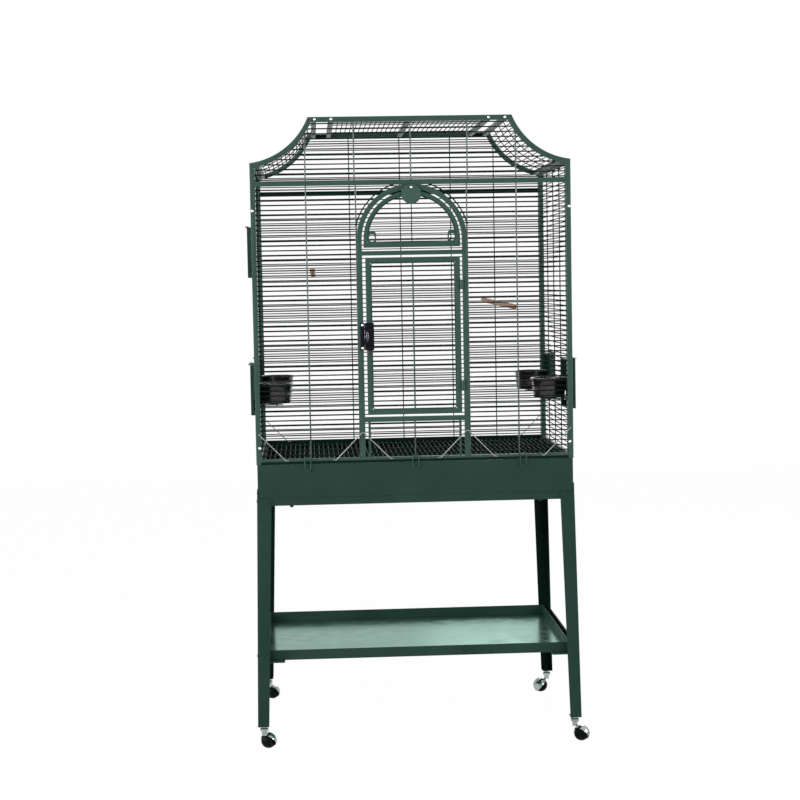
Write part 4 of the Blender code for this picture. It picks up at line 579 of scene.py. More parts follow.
def build_head_tree():
    """Put a domed or hexagonal head on every point, facing the way the point says."""
    tree, source, sink = tree_with("fastener heads", [
        ("Head radius", "NodeSocketFloat", 0.004), ("Head height", "NodeSocketFloat", 0.002),
        ("Sides", "NodeSocketInt", 16), ("Finish", "NodeSocketMaterial", None)])
    facing = tree.nodes.new("GeometryNodeInputNamedAttribute")
    facing.data_type = "FLOAT_VECTOR"
    facing.inputs["Name"].default_value = "facing"
    turn = tree.nodes.new("FunctionNodeAlignRotationToVector")
    turn.axis = "Z"
    head = tree.nodes.new("GeometryNodeMeshUVSphere")
    head.inputs["Rings"].default_value = 6
    head.inputs["Radius"].default_value = 1.0
    scale = tree.nodes.new("ShaderNodeCombineXYZ")
    spread = tree.nodes.new("GeometryNodeInstanceOnPoints")
    link(tree, source.outputs["Sides"], head.inputs["Segments"])
    link(tree, facing.outputs["Attribute"], turn.inputs["Vector"])
    for axis, name in (("X", "Head radius"), ("Y", "Head radius"), ("Z", "Head height")):
        link(tree, source.outputs[name], scale.inputs[axis])
    link(tree, source.outputs["Geometry"], spread.inputs["Points"])
    link(tree, head.outputs["Mesh"], spread.inputs["Instance"])
    link(tree, turn.outputs["Rotation"], spread.inputs["Rotation"])
    link(tree, scale.outputs["Vector"], spread.inputs["Scale"])
    end_tree(tree, spread.outputs["Instances"], source, sink)
    return tree


WIRE_TREE = build_wire_tree()
HEAD_TREE = build_head_tree()


def run_tree(name, mesh, tree, values, body, replaces):
    """Evaluate a tree on a mesh and keep the plain result as the piece."""
    seed = bpy.data.objects.new(name + "_seed", mesh)
    bpy.context.scene.collection.objects.link(seed)
    modifier = seed.modifiers.new("tree", "NODES")
    modifier.node_group = tree
    keys = {item.name: item.identifier for item in tree.interface.items_tree if item.in_out == "INPUT"}
    for label, value in values.items():
        modifier[keys[label]] = value
    bpy.context.view_layer.update()
    evaluated = seed.evaluated_get(bpy.context.evaluated_depsgraph_get())
    result = bpy.data.meshes.new_from_object(evaluated)
    result.name = name
    bpy.data.objects.remove(seed, do_unlink=True)
    result.set_sharp_from_angle(angle=math.radians(50.0))
    piece = bpy.data.objects.new(name, result)
    bpy.context.scene.collection.objects.link(piece)
    return attach(piece, body, replaces)


# The default wire coat carries painted shade.
def wires(name, lines, body, replaces=(), coat=PAINTED_SHADE_WIRE_COAT, radius=WIRE_RADIUS, sides=8, bend=0.0):
    """Round wires along lists of points."""
    mesh = bpy.data.meshes.new(name + "_lines")
    points, edges = [], []
    for line in lines:
        first = len(points)
        points.extend(tuple(point) for point in line)
        edges.extend((first + index, first + index + 1) for index in range(len(line) - 1))
    mesh.from_pydata(points, edges, [])
    values = {"Wire radius": radius, "Sides": sides, "Bend radius": bend, "Finish": coat}
    return run_tree(name, mesh, WIRE_TREE, values, body, replaces)


def heads(name, places, body, radius, height, coat, sides=16):
    """Fastener heads; places are (point, facing) pairs."""
    mesh = bpy.data.meshes.new(name + "_points")
    mesh.from_pydata([tuple(point) for point, _ in places], [], [])
    attribute = mesh.attributes.new("facing", "FLOAT_VECTOR", "POINT")
    for index, (_, facing) in enumerate(places):
        attribute.data[index].vector = facing
    values = {"Head radius": radius, "Head height": height, "Sides": sides, "Finish": coat}
    return run_tree(name, mesh, HEAD_TREE, values, body, ())


def rows(low, high, start=FIRST_ROW):
    """Heights of the level wires that clear two limits."""
    first = math.ceil((low + ROW_CLEARANCE - start) / PITCH)
    last = math.floor((high - ROW_CLEARANCE - start) / PITCH)
    return [start + PITCH * index for index in range(first, last + 1)]


def arch_half(radius, z):
    """Half the width of the doorway's arch at a height."""
    return radius if z <= SPRING else math.sqrt(max(0.0, radius ** 2 - (z - SPRING) ** 2))


def head_half(z):
    """Half the width between the curved tubes at a height."""
    straight = HALF - TUBE
    if CURVE_Z - z >= CURVE_INSIDE:
        return straight
    return min(straight, CURVE_X - math.sqrt(CURVE_INSIDE ** 2 - (CURVE_Z - z) ** 2))


def head_height(x):
    """How high an upright wire reaches below the top rail or the curve."""
    reach = CURVE_X - abs(x)
    if reach >= CURVE_INSIDE * math.sin(CURVE_STEEP):
        return TOP - TUBE
    return CURVE_Z - math.sqrt(CURVE_INSIDE ** 2 - reach ** 2)


def add_head_loop(shape, middle):
    """The two curved shoulder tubes and the flat top rail, as one bent tube."""
    right = curve_path(CURVE_MIDDLE, 1, CURVE_LOW, CURVE_HIGH)
    left = list(reversed(curve_path(CURVE_MIDDLE, -1, CURVE_LOW, CURVE_HIGH)))
    add_tube(shape, right + left, HALF_TUBE - HAIR, HALF_TUBE - HAIR, middle, front_view)


def add_straight(shape, start, end, half_across, half_deep, middle, place):
    """A straight tube between two points."""
    add_tube(shape, [start, end], half_across, half_deep, middle, place)


def add_posts(shape, middle):
    """Both straight posts and the bent head between them."""
    for side in (-1, 1):
        add_straight(shape, (side * POST_X, PANEL_BOTTOM), (side * POST_X, SHOULDER), HALF_TUBE, HALF_TUBE,
                     middle, front_view)
    add_head_loop(shape, middle)


def add_level(shape, reach, z, middle, half_high=HALF_TUBE):
    """A level tube across the front or the back."""
    add_straight(shape, (-reach, z), (reach, z), half_high, HALF_TUBE, middle, front_view)


def level_wire(reach, y, z):
    return [(-reach, y, z), (reach, y, z)]


def upright_wire(x, y, low, high):
    return [(x, y, low), (x, y, high)]


def make_front():
    middle = FRONT + HALF_TUBE
    shape = bmesh.new()
    add_posts(shape, middle)
    reach = HALF - TUBE + BUTT
    add_level(shape, reach, (FRONT_RAIL[0] + FRONT_RAIL[1]) / 2, middle, (FRONT_RAIL[1] - FRONT_RAIL[0]) / 2)
    add_level(shape, reach, (CROSSBAR[0] + CROSSBAR[1]) / 2, middle)
    radius = SURROUND - HALF_TUBE
    foot = FRONT_RAIL[1] - BUTT
    path = [(radius, foot)] + arc(0.0, SPRING, radius, 0.0, math.pi, 56) + [(-radius, foot)]
    add_tube(shape, path, HALF_TUBE, HALF_TUBE, middle, front_view)
    for low, high in (TRANSOM, SILL):
        add_level(shape, SURROUND_INNER + BUTT, (low + high) / 2, middle, (high - low) / 2)
    finish("front_tubes", shape, TUBE_COAT, "cage", ("front_frame",))
    make_front_wires()


def make_front_wires():
    """The front mats: level wires, uprights in front of them and a wire along the arch."""
    lines, uprights, welds = [], [], []
    start = math.acos(DOORWAY_WIRE_X / ARCH_WIRE)
    climb = math.asin((CROSSBAR[0] - SPRING) / ARCH_WIRE)
    for side in (-1, 1):
        for z in rows(FRONT_RAIL[1], CROSSBAR[0]):
            inner = arch_half(SURROUND - BUTT, z)
            lines.append([(side * (HALF - TUBE), FRONT_ROW_Y, z), (side * inner, FRONT_ROW_Y, z)])
        curve = [(side * u, FRONT_POST_Y, v) for u, v in arc(0.0, SPRING, ARCH_WIRE, start, climb, 28)]
        lines.append(curve)
        welds += [(point, FORWARD) for point in (curve[0], curve[-1])]
        for x in (side * DOORWAY_WIRE_X, side * FRONT_UPRIGHT_X):
            uprights.append(upright_wire(x, FRONT_POST_Y, FRONT_RAIL[1], CROSSBAR[0]))
    lines += [level_wire(head_half(z), FRONT_ROW_Y, z) for z in rows(CROSSBAR[1], TOP - TUBE)]
    uprights += [upright_wire(x, FRONT_POST_Y, CROSSBAR[1], head_height(x)) for x in UPRIGHTS]
    lines += [level_wire(FILLER_X, FRONT_ROW_Y, z) for z in rows(FRONT_RAIL[1], SILL[0])]
    uprights.append(upright_wire(0.0, FRONT_POST_Y, FRONT_RAIL[1], SILL[0]))
    wires("front_wires", lines, "cage",
          ("front_wires_left", "front_wires_right", "front_wires_head", "front_wires_below_door"),
          radius=FRONT_MAT_RADIUS)
    # The front uprights take the lighter coat with the painted highlight; the weld heads take the wire coat with
    # painted shade.
    wires("front_uprights", uprights, "cage", coat=PAINTED_HIGHLIGHT_UPRIGHT_COAT, radius=0.0019, sides=10)
    heads("front_welds", welds, "cage", 0.0034, 0.0020, PAINTED_SHADE_WIRE_COAT, 10)
    shape = bmesh.new()
    for x in (-FILLER_X, FILLER_X):
        add_straight(shape, (x, FRONT_RAIL[1]), (x, SILL[0]), 0.003, 0.003, FRONT + HALF_TUBE, front_view)
    finish("filler_edges", shape, TUBE_COAT, "cage")


def make_back():
    middle = BACK - HALF_TUBE
    shape = bmesh.new()
    add_posts(shape, middle)
    for z in (PANEL_BOTTOM + HALF_TUBE, (CROSSBAR[0] + CROSSBAR[1]) / 2):
        add_level(shape, HALF - TUBE + BUTT, z, middle)
    # The back tubes take the darker coat with painted shade.
    finish("back_tubes", shape, PAINTED_SHADE_COAT, "cage", ("back_panel",))
    row_y, upright_y = middle - WEAVE, middle + WEAVE
    start = FIRST_ROW - BACK_ROW_DROP
    lines = [level_wire(HALF - TUBE, row_y, z) for z in rows(RAIL_TOP, CROSSBAR[0], start)]
    lines += [level_wire(head_half(z), row_y, z) for z in rows(CROSSBAR[1], TOP - TUBE, start)]
    for x in UPRIGHTS:
        lines.append(upright_wire(x, upright_y, RAIL_TOP, CROSSBAR[0]))
        lines.append(upright_wire(x, upright_y, CROSSBAR[1], head_height(x)))
    wires("back_wires", lines, "cage", radius=BACK_MAT_RADIUS)


# Feeder hatches: where they stand, the folded guides round them and the prongs under a cup
HATCH_LOW = 0.8618
HATCH_HIGH = 1.2124
HATCH_HEIGHT = 0.1280
HATCH_HALF = 0.0625
HATCH_Y = 0.1790
HATCH_SILL = 0.0215
HATCH_SLOT = (0.012, 0.038)
GUIDE_BACK = 0.39905
GUIDE_FRONT = HALF + 0.011
SILL_FRONT = 0.4132
PRONG_ROOT = 0.4030
PRONG_TIP = 0.3371
PRONG_BRACE = 0.352
PRONG_Y = 0.028
HATCHES = {
    "left": [(-HATCH_Y, HATCH_LOW, "front"), (HATCH_Y, HATCH_LOW, "back"), (-HATCH_Y, HATCH_HIGH, "upper")],
    "right": [(-HATCH_Y, HATCH_LOW, "front"), (HATCH_Y, HATCH_LOW, "back")]}


def add_hatch(shape, side, y, bottom):
    """Two folded guides with a slot, a stop, a sill and a head round a feeder opening."""
    top = bottom + HATCH_HEIGHT
    slot_low, slot_high = bottom + HATCH_SLOT[0], bottom + HATCH_SLOT[1]

    def block(x0, x1, y0, y1, z0, z1):
        xs = sorted((side * x0, side * x1))
        ys = sorted((y0, y1))
        add_box(shape, (xs[0], ys[0], z0), (xs[1], ys[1], z1))

    for hand in (-1, 1):
        outer = y + hand * HATCH_HALF
        inner = y + hand * (HATCH_HALF - 0.0025)
        lip = y + hand * (HATCH_HALF - 0.008)
        block(GUIDE_BACK, GUIDE_FRONT, outer, inner, bottom, slot_low)
        block(GUIDE_BACK, HALF, outer, inner, slot_low, slot_high)
        block(HALF + 0.004, GUIDE_FRONT, outer, inner, slot_low, slot_high)
        block(GUIDE_BACK, GUIDE_FRONT, outer, inner, slot_high, top)
        block(GUIDE_FRONT - 0.0018, GUIDE_FRONT, lip, inner, bottom, top)
    near, far = y - (HATCH_HALF - 0.002), y + (HATCH_HALF - 0.002)
    block(GUIDE_BACK + GAP, GUIDE_FRONT - GAP, near, far, bottom + GAP, bottom + 0.0028)
    for low in (bottom + HATCH_SILL, top - 0.006):
        block(GUIDE_BACK + 2 * GAP, SILL_FRONT, near, far, low, low + 0.0045)


def hatch_breaks(side_name, z):
    """Where a side's level wire stops for the hatches at its height."""
    breaks = []
    for y, bottom, _ in HATCHES[side_name]:
        if bottom - WIRE_RADIUS < z < bottom + HATCH_HEIGHT + WIRE_RADIUS:
            breaks.append((y - HATCH_HALF + 0.001, y + HATCH_HALF - 0.001))
    return sorted(breaks)


def make_side(side, name):
    edge = SIDE_DEPTH - HALF_TUBE
    low, high = PANEL_BOTTOM + HALF_TUBE, SHOULDER - HALF_TUBE
    shape = bmesh.new()
    path = [(-edge, low), (edge, low), (edge, high), (-edge, high)]
    add_tube(shape, path, HALF_TUBE, HALF_TUBE, side * POST_X, side_view, closed=True)
    finish(f"{name}_side_tubes", shape, TUBE_COAT, "cage", (f"{name}_panel",))
    shape = bmesh.new()
    prongs = []
    for y, bottom, label in HATCHES[name]:
        add_hatch(shape, side, y, bottom)
        if label != "upper":
            z = bottom + HATCH_SILL + 0.0025
            for end in (y - PRONG_Y, y + PRONG_Y):
                prongs.append([(side * PRONG_ROOT, end, z), (side * PRONG_TIP, end, z),
                               (side * PRONG_TIP, end, z + 0.0002)])
            prongs.append([(side * PRONG_BRACE, end, z - 0.002) for end in (y - PRONG_Y, y + PRONG_Y)])
    finish(f"{name}_hatch_guides", shape, SHEET_COAT, "cage", bevel=0.0004)
    wires(f"{name}_cup_rests", prongs, "cage", radius=0.0017, coat=TUBE_COAT)
    row_x = side * SIDE_ROW_X
    limit = SIDE_DEPTH - TUBE
    lines = []
    for z in rows(RAIL_TOP, SHOULDER - TUBE):
        ends = [-limit] + [end for cut in hatch_breaks(name, z) for end in cut] + [limit]
        for start, stop in zip(ends[::2], ends[1::2]):
            if stop - start > PITCH:
                lines.append([(row_x, start, z), (row_x, stop, z)])
    for y in (-SIDE_UPRIGHT_Y, 0.0, SIDE_UPRIGHT_Y):
        lines.append(upright_wire(side * SIDE_UPRIGHT_X, y, RAIL_TOP, SHOULDER - TUBE))
    wires(f"{name}_side_wires", lines, "cage", radius=BACK_MAT_RADIUS)


def make_top():
    middle = TOP - HALF_TUBE
    edge = SIDE_DEPTH - HALF_TUBE
    shape = bmesh.new()
    path = [(-TOP_BAR_X, -edge), (TOP_BAR_X, -edge), (TOP_BAR_X, edge), (-TOP_BAR_X, edge)]
    add_tube(shape, path, HALF_TUBE, HALF_TUBE, middle, plan_view, closed=True)
    add_straight(shape, (0.0, -edge), (0.0, edge), HALF_TUBE, HALF_TUBE, middle, plan_view)
    finish("top_tubes", shape, TUBE_COAT, "cage", ("top_panel",))
    inner = TOP_BAR_X - HALF_TUBE
    limit = SIDE_DEPTH - TUBE
    count = int((inner - HALF_TUBE - ROW_CLEARANCE) / PITCH)
    lines = []
    for side in (-1, 1):
        for index in range(1, count + 1):
            x = side * (HALF_TUBE + index * (inner - HALF_TUBE) / (count + 1))
            lines.append([(x, -limit, middle + WEAVE), (x, limit, middle + WEAVE)])
        for y in (-SIDE_UPRIGHT_Y, 0.0, SIDE_UPRIGHT_Y):
            lines.append([(side * HALF_TUBE, y, middle - WEAVE), (side * inner, y, middle - WEAVE)])
    wires("top_wires", lines, "cage")


def make_curve(side, name):
    foot = HALF - TUBE - GAP - HALF_TUBE
    foot_z = CURVE_Z - math.sqrt((CURVE_MIDDLE + GAP) ** 2 - (CURVE_X - foot) ** 2)
    start = math.asin((CURVE_X - foot) / CURVE_MIDDLE)
    bar_z = TOP - HALF_TUBE
    shape = bmesh.new()
    for x, z in ((foot, foot_z), (CURVE_BAR_X, bar_z)):
        add_straight(shape, (side * x, -SIDE_DEPTH), (side * x, SIDE_DEPTH), HALF_TUBE, HALF_TUBE, z, plan_view)
    path = curve_path(CURVE_MIDDLE, side, start, CURVE_HIGH) + [(side * CURVE_BAR_X, bar_z)]
    edge = SIDE_DEPTH - 0.0033
    for y in (-edge, edge):
        add_tube(shape, path, HALF_TUBE - 0.0006, 0.003, y, front_view, radius=0.001)
    finish(f"{name}_curve_tubes", shape, TUBE_COAT, "cage", (f"curve_panel_{name}",))
    count = int(CURVE_MIDDLE * (CURVE_HIGH - start) / PITCH)
    limit = SIDE_DEPTH - 0.006
    lines = []
    for index in range(1, count):
        x, z = curve_at(CURVE_MIDDLE + WEAVE, side, start + (CURVE_HIGH - start) * index / count)
        lines.append([(x, -limit, z), (x, limit, z)])
    bend = curve_path(CURVE_MIDDLE - WEAVE, side, start, CURVE_HIGH - 0.01, 20)
    for y in (-SIDE_UPRIGHT_Y, 0.0, SIDE_UPRIGHT_Y):
        lines.append([(u, y, v) for u, v in bend] + [(side * CURVE_BAR_X, y, bar_z)])
    wires(f"{name}_curve_wires", lines, "cage")


# The main door and its hinges
HINGE_X = 0.1243
HINGE_Y = -0.2713
DOOR = (-0.1193, 0.1213, 0.8582, 1.2579)
HINGE_BOTTOMS = (DOOR[2] + 0.060, DOOR[3] - 0.060 - 0.024)
KNUCKLE_STEP = 0.0123
LEAF = (0.0027, 0.0115)
LEAF_RIVET = 0.0078


def add_knuckle(shape, bottom):
    profile = [(0.0042, 0.0116), (0.0039, 0.0120), (0.0024, 0.0120), (0.0024, 0.0), (0.0039, 0.0),
               (0.0042, 0.0004)]
    add_turned(shape, profile, at(HINGE_X, HINGE_Y, bottom), 24)


def make_hinges():
    """Two hinges: a knuckle and a leaf on the post, the same above them on the door, and a pin."""
    post, door, pins = bmesh.new(), bmesh.new(), bmesh.new()
    rivets_post, rivets_door = [], []
    pin = [(0.0, 0.0022), (0.0022, 0.0020), (0.0034, 0.0012), (0.0034, 0.0), (0.002, 0.0), (0.002, -0.0246),
           (0.0, -0.0246)]
    for bottom in HINGE_BOTTOMS:
        for shape, rivets, hand, low in ((post, rivets_post, 1, bottom),
                                         (door, rivets_door, -1, bottom + KNUCKLE_STEP)):
            add_knuckle(shape, low)
            left, right = sorted((HINGE_X + hand * LEAF[0], HINGE_X + hand * LEAF[1]))
            add_box(shape, (left, FRONT - 0.002, low), (right, FRONT + 0.001, low + 0.012))
            rivets.append(((HINGE_X + hand * LEAF_RIVET, FRONT - 0.002, low + 0.006), FORWARD))
        add_turned(pins, pin, at(HINGE_X, HINGE_Y, bottom + 0.0246), 20)
    finish("post_hinge_leaves", post, TUBE_COAT, "cage", bevel=0.0003)
    finish("door_hinge_leaves", door, TUBE_COAT, "main_door", bevel=0.0003)
    finish("door_hinge_pins", pins, STEEL, "cage", ("door_hinge_pin_lower", "door_hinge_pin_upper"))
    heads("post_leaf_rivets", rivets_post, "cage", 0.0016, 0.0008, TUBE_COAT, 12)
    heads("door_leaf_rivets", rivets_door, "main_door", 0.0016, 0.0008, TUBE_COAT, 12)


def make_main_door():
    left, right, bottom, top = DOOR
    shape = bmesh.new()
    path = [(left + HALF_TUBE, bottom + HALF_TUBE), (right - HALF_TUBE, bottom + HALF_TUBE),
            (right - HALF_TUBE, top - HALF_TUBE), (left + HALF_TUBE, top - HALF_TUBE)]
    add_tube(shape, path, HALF_TUBE, HALF_TUBE, FRONT + HALF_TUBE, front_view, closed=True)
    finish("main_door_tubes", shape, TUBE_COAT, "main_door", ("main_door",))
    low, high = bottom + TUBE, top - TUBE
    lines = [[(left + TUBE, FRONT_ROW_Y, z), (right - TUBE, FRONT_ROW_Y, z)]
             for z in rows(low, high, FIRST_ROW - DOOR_ROW_DROP)]
    wires("main_door_wires", lines, "main_door", radius=FRONT_MAT_RADIUS)
    centre = (left + right) / 2
    wires("main_door_upright", [upright_wire(centre, FRONT_POST_Y, low, high)], "main_door",
          coat=TUBE_COAT, radius=0.0020, sides=10)
    inset = TUBE + EDGE_WIRE_INSET
    x0, x1, z0, z1 = left + inset, right - inset, bottom + inset, top - inset
    corners = [(centre + BUTT, z0), (x1, z0), (x1, z1), (x0, z1), (x0, z0), (centre + BUTT, z0)]
    loop = [(x, EDGE_WIRE_Y, z) for x, z in corners]
    wires("main_door_edge_wire", [loop], "main_door", radius=0.0015, bend=0.006, coat=TUBE_COAT)


# The arched door, its ears and its pins
ARCH_HALF = 0.1228
ARCH_BOTTOM = 1.2831
ARCH_BAR = 0.0065
ARCH_PIN = (ARCH_HALF - 0.0109, 0.1270)
EAR_HALF = 0.0105
EAR_STEPS = (0.014, 0.009, 0.004)
EAR_HOLE = (0.00725, 0.0095)
TONGUE_TOP = 1.4368


def make_arch_door():
    middle = FRONT + HALF_TUBE
    shape = bmesh.new()
    radius = ARCH_HALF - 0.005
    foot = ARCH_BOTTOM + 0.006
    path = [(radius, foot)] + arc(0.0, SPRING, radius, 0.0, math.pi, 56) + [(-radius, foot)]
    add_tube(shape, path, 0.0049, HALF_TUBE - HAIR, middle, front_view)
    add_level(shape, ARCH_HALF, ARCH_BOTTOM + ARCH_BAR, middle, ARCH_BAR)
    finish("arch_door_tubes", shape, TUBE_COAT, "arch_door", ("arch_door",))
    low = ARCH_BOTTOM + 0.013
    inner = ARCH_HALF - 0.010
    lines = [level_wire(arch_half(inner + BUTT, z), FRONT_ROW_Y, z) for z in rows(low, SPRING + inner - 0.006)]
    lines.append(upright_wire(0.0, FRONT_POST_Y, low, SPRING + inner))
    wires("arch_door_wires", lines, "arch_door")
    base = low + EDGE_WIRE_INSET
    reach = inner - EDGE_WIRE_INSET
    bend = arc(0.0, SPRING, reach, 0.0, math.pi, 40)
    corners = [(BUTT, base), (reach, base)] + bend + [(-reach, base), (BUTT, base)]
    loop = [(u, EDGE_WIRE_Y, v) for u, v in corners]
    wires("arch_door_edge_wire", [loop], "arch_door", radius=0.0014, coat=TUBE_COAT)
    make_ears(low)
    shape = bmesh.new()
    rim = SPRING + ARCH_HALF
    add_box(shape, (-0.0075, FRONT - 0.0018, rim - 0.010), (0.0075, FRONT - GAP, TONGUE_TOP))
    add_box(shape, (-0.0070, FRONT - 0.0006, rim - 0.0095), (0.0070, FRONT + 0.002, rim - 0.0015))
    finish("arch_door_tongue", shape, TUBE_COAT, "arch_door", bevel=0.0003)
    pins = bmesh.new()
    for side in (-1, 1):
        low_x, high_x = sorted(side * end for end in ARCH_PIN)
        turn = at(low_x, middle, ARCH_BOTTOM + ARCH_BAR) @ Matrix.Rotation(math.pi / 2, 4, "Y")
        length = high_x - low_x
        add_turned(pins, [(0.0, 0.0), (0.002, 0.0), (0.002, length), (0.0, length)], turn, 16)
    finish("arch_door_pins", pins, STEEL, "cage", ("arch_door_pin_left", "arch_door_pin_right"))


def make_ears(low):
    """Two round-topped plates with an oval hole, at the foot of the arched door."""
    shape = bmesh.new()
    for side in (-1, 1):
        centre = side * (ARCH_HALF - 0.0215)
        hole_z = low + 0.0115
        outline = arc(centre, low + 0.030 - EAR_HALF, EAR_HALF, 0.0, math.pi, 16)
        outline += [(centre - EAR_HALF, low + step) for step in EAR_STEPS]
        outline += [(centre + step, low - 0.001)
                    for step in (-EAR_HALF, -0.0070, -0.0035, 0.0, 0.0035, 0.0070, EAR_HALF)]
        outline += [(centre + EAR_HALF, low + step) for step in reversed(EAR_STEPS)]
        hole = []
        for u, v in outline:
            away = Vector((u - centre, v - hole_z))
            size = math.sqrt((away.x / EAR_HOLE[0]) ** 2 + (away.y / EAR_HOLE[1]) ** 2)
            hole.append((centre + away.x / size, hole_z + away.y / size))
        add_ring_slab(shape, outline, hole, FRONT + 0.0007, FRONT + 0.0037, front_view)
    finish("arch_door_ears", shape, TUBE_COAT, "arch_door", bevel=0.0005)


DISC_Z = 1.4165
DISC_RIVET_Z = 1.434


def make_latch_disc():
    front = FRONT - 0.0021
    shape = bmesh.new()
    plate = [(0.0, 0.0020), (0.0236, 0.0020), (0.0246, 0.0017), (0.0250, 0.0011), (0.0250, 0.0006),
             (0.0244, 0.0), (0.0, 0.0)]
    add_turned(shape, plate, at(0.0, front, DISC_Z) @ FACE_FRONT, 64)
    finish("latch_disc_plate", shape, DISC_COAT, "latch_disc", ("latch_disc",), angle=30.0)
    place = (0.0, front - 0.0019, DISC_RIVET_Z)
    heads("latch_disc_rivet", [(place, FORWARD)], "latch_disc", 0.0031, 0.0016, SCREW, 20)


# The lock, with a keeper on the surround and a case on the door
LOCK_X = -0.1182
LOCK_Z = 1.0585
LOCK_FRONT = -0.2848
LOCK_PIN_Z = 1.0150
KEEPER_X = -0.1302
CASE_X = -0.1064
LOCK_SCREWS = (-0.0290, 0.0290)


def make_lock():
    soft_copy("lock_keeper", "lock_keeper_block", LOCK_BLACK, "cage", 0.0009)
    soft_copy("lock_case", "lock_case_block", LOCK_BLACK, "main_door", 0.0009)
    shape = bmesh.new()
    turn = [2 * math.pi * index / 40 for index in range(40)]
    rings = []
    for y, width, length in ((-0.0003, 0.0046, 0.0157), (-0.0030, 0.0046, 0.0158), (-0.0075, 0.0040, 0.0152),
                             (-0.0100, 0.0030, 0.0140), (-0.0110, 0.0016, 0.0122)):
        rings.append([shape.verts.new((LOCK_X + width * math.cos(angle), LOCK_FRONT + y,
                                       LOCK_Z + length * math.sin(angle))) for angle in turn])
    shape.faces.new(rings[0])
    shape.faces.new(list(reversed(rings[-1])))
    for one, two in zip(rings, rings[1:]):
        join_rings(shape, one, two)
    add_turned(shape, [(0.0, 0.004), (0.0044, 0.004), (0.0044, -0.0077), (0.0, -0.0077)],
               at(LOCK_X, LOCK_FRONT, LOCK_Z) @ FACE_FRONT, 24)
    add_box(shape, (LOCK_X - 0.0035, LOCK_FRONT + 0.005, LOCK_Z - 0.0035),
            (LOCK_X + 0.0035, LOCK_FRONT + 0.0078, LOCK_Z + 0.0142))
    # The thumb turn's blue is a painted reflection.
    finish("lock_thumb_turn", shape, KNOB_PAINTED_REFLECTION, "lock_knob", ("lock_knob",), 40.0)
    places = [((KEEPER_X, FRONT - 0.0123, LOCK_Z + rise), FORWARD) for rise in LOCK_SCREWS]
    heads("lock_keeper_screws", places, "cage", 0.0034, 0.0016, SCREW, 16)
    places = [((CASE_X, FRONT - 0.0122, LOCK_Z + rise), FORWARD) for rise in LOCK_SCREWS]
    heads("lock_case_screws", places, "main_door", 0.0028, 0.0008, LOCK_BLACK, 16)
    pin = bmesh.new()
    add_turned(pin, [(0.0, 0.0), (0.0018, 0.0), (0.0023, 0.0008), (0.0023, 0.0095), (0.0, 0.0095)],
               at(LOCK_X, FRONT - 0.006, LOCK_PIN_Z), 16)
    finish("lock_pin", pin, PIN_ORANGE, "main_door")


CUP_X = 0.357
CUP_PROFILE = [
    (0.0, 0.0), (0.0352, 0.0), (0.0384, 0.0008), (0.0402, 0.0026), (0.0410, 0.0056), (0.0428, 0.0260),
    (0.0446, 0.0468), (0.0455, 0.0477), (0.0470, 0.0480), (0.0482, 0.0488), (0.0485, 0.0502),
    (0.0480, 0.0515), (0.0468, 0.0520), (0.0446, 0.0520), (0.0434, 0.0512), (0.0428, 0.0495),
    (0.0408, 0.0260), (0.0388, 0.0090), (0.0362, 0.0058), (0.0330, 0.0046), (0.0, 0.0044)]


def make_cups():
    for side, name in ((-1, "left"), (1, "right")):
        for y, bottom, label in HATCHES[name]:
            if label == "upper":
                continue
            shape = bmesh.new()
            add_turned(shape, CUP_PROFILE, at(side * CUP_X, y, bottom + HATCH_SILL + 0.0045), 72)
            finish(f"seed_cup_{name}_{label}", shape, BLACK, f"cup_{name}_{label}", (f"cup_{name}_{label}",),
                   60.0)


PERCH_RADIUS = 0.0066
PERCH_ENDS = [(0.0, 0.0), (0.0046, 0.0), (0.0051, 0.0008), (0.0051, 0.004), (0.0060, 0.006), (PERCH_RADIUS, 0.008)]


def make_perches():
    """Two dowels with stepped ends and a slightly uneven radius."""
    drop = CROSSBAR[0]
    ends = {"left": ((-0.2540, drop - 0.2122), (-0.2500, drop - 0.2249)),
            "right": ((0.2610, drop - 0.3142), (0.2310, drop - 0.3015))}
    for name, (front, back) in ends.items():
        start = Vector((front[0], FRONT + TUBE + GAP, front[1]))
        end = Vector((back[0], BACK - TUBE - GAP, back[1]))
        along = end - start
        length = along.length
        profile = [(radius, length - inset) for radius, inset in PERCH_ENDS]
        profile += [(PERCH_RADIUS + 0.0001 * math.sin(index * 1.7), length * (9 - index) / 10 + 0.01)
                    for index in range(1, 9)]
        profile += reversed(PERCH_ENDS)
        shape = bmesh.new()
        add_turned(shape, profile, at(*start) @ along.to_track_quat("Z", "Y").to_matrix().to_4x4(), 28)
        finish(f"wood_perch_{name}", shape, WOOD, "cage", (f"perch_{name}",), 50.0)


# The bent rods at the foot of the posts: their heights, and where slope and foot end
STAY_LOW = 0.74595
STAY_TOP = STAY_LOW + 0.0700
STAY_SLOPE = 0.069
STAY_FOOT = 0.077


def stay_foot(x, y, hand):
    """The end of a stay's slope and the end of its foot, to one hand of its top."""
    return [(x + hand * STAY_SLOPE, y, STAY_LOW), (x + hand * STAY_FOOT, y, STAY_LOW)]


def make_stays():
    y = FRONT - 0.0032
    door_post = SURROUND - HALF_TUBE
    stays = {"corner_left": (-POST_X, (1,)), "door_left": (-door_post, (-1, 1)),
             "door_right": (door_post, (-1, 1)), "corner_right": (POST_X, (-1,))}
    for name, (x, feet) in stays.items():
        path = [(x, y, STAY_TOP)]
        if -1 in feet:
            path = stay_foot(x, y, -1)[::-1] + path
        if 1 in feet:
            path += stay_foot(x, y, 1)
        wires(f"wire_stay_{name}", [path], "cage", (f"stay_{name}",), STEEL, 0.0013, 12, 0.004)
    y = BACK - TUBE - 0.0030
    lines = [[(side * POST_X, y, STAY_TOP)] + stay_foot(side * POST_X, y, -side) for side in (-1, 1)]
    wires("back_wire_stays", lines, "cage", (), STEEL, 0.0012, 10, 0.004)


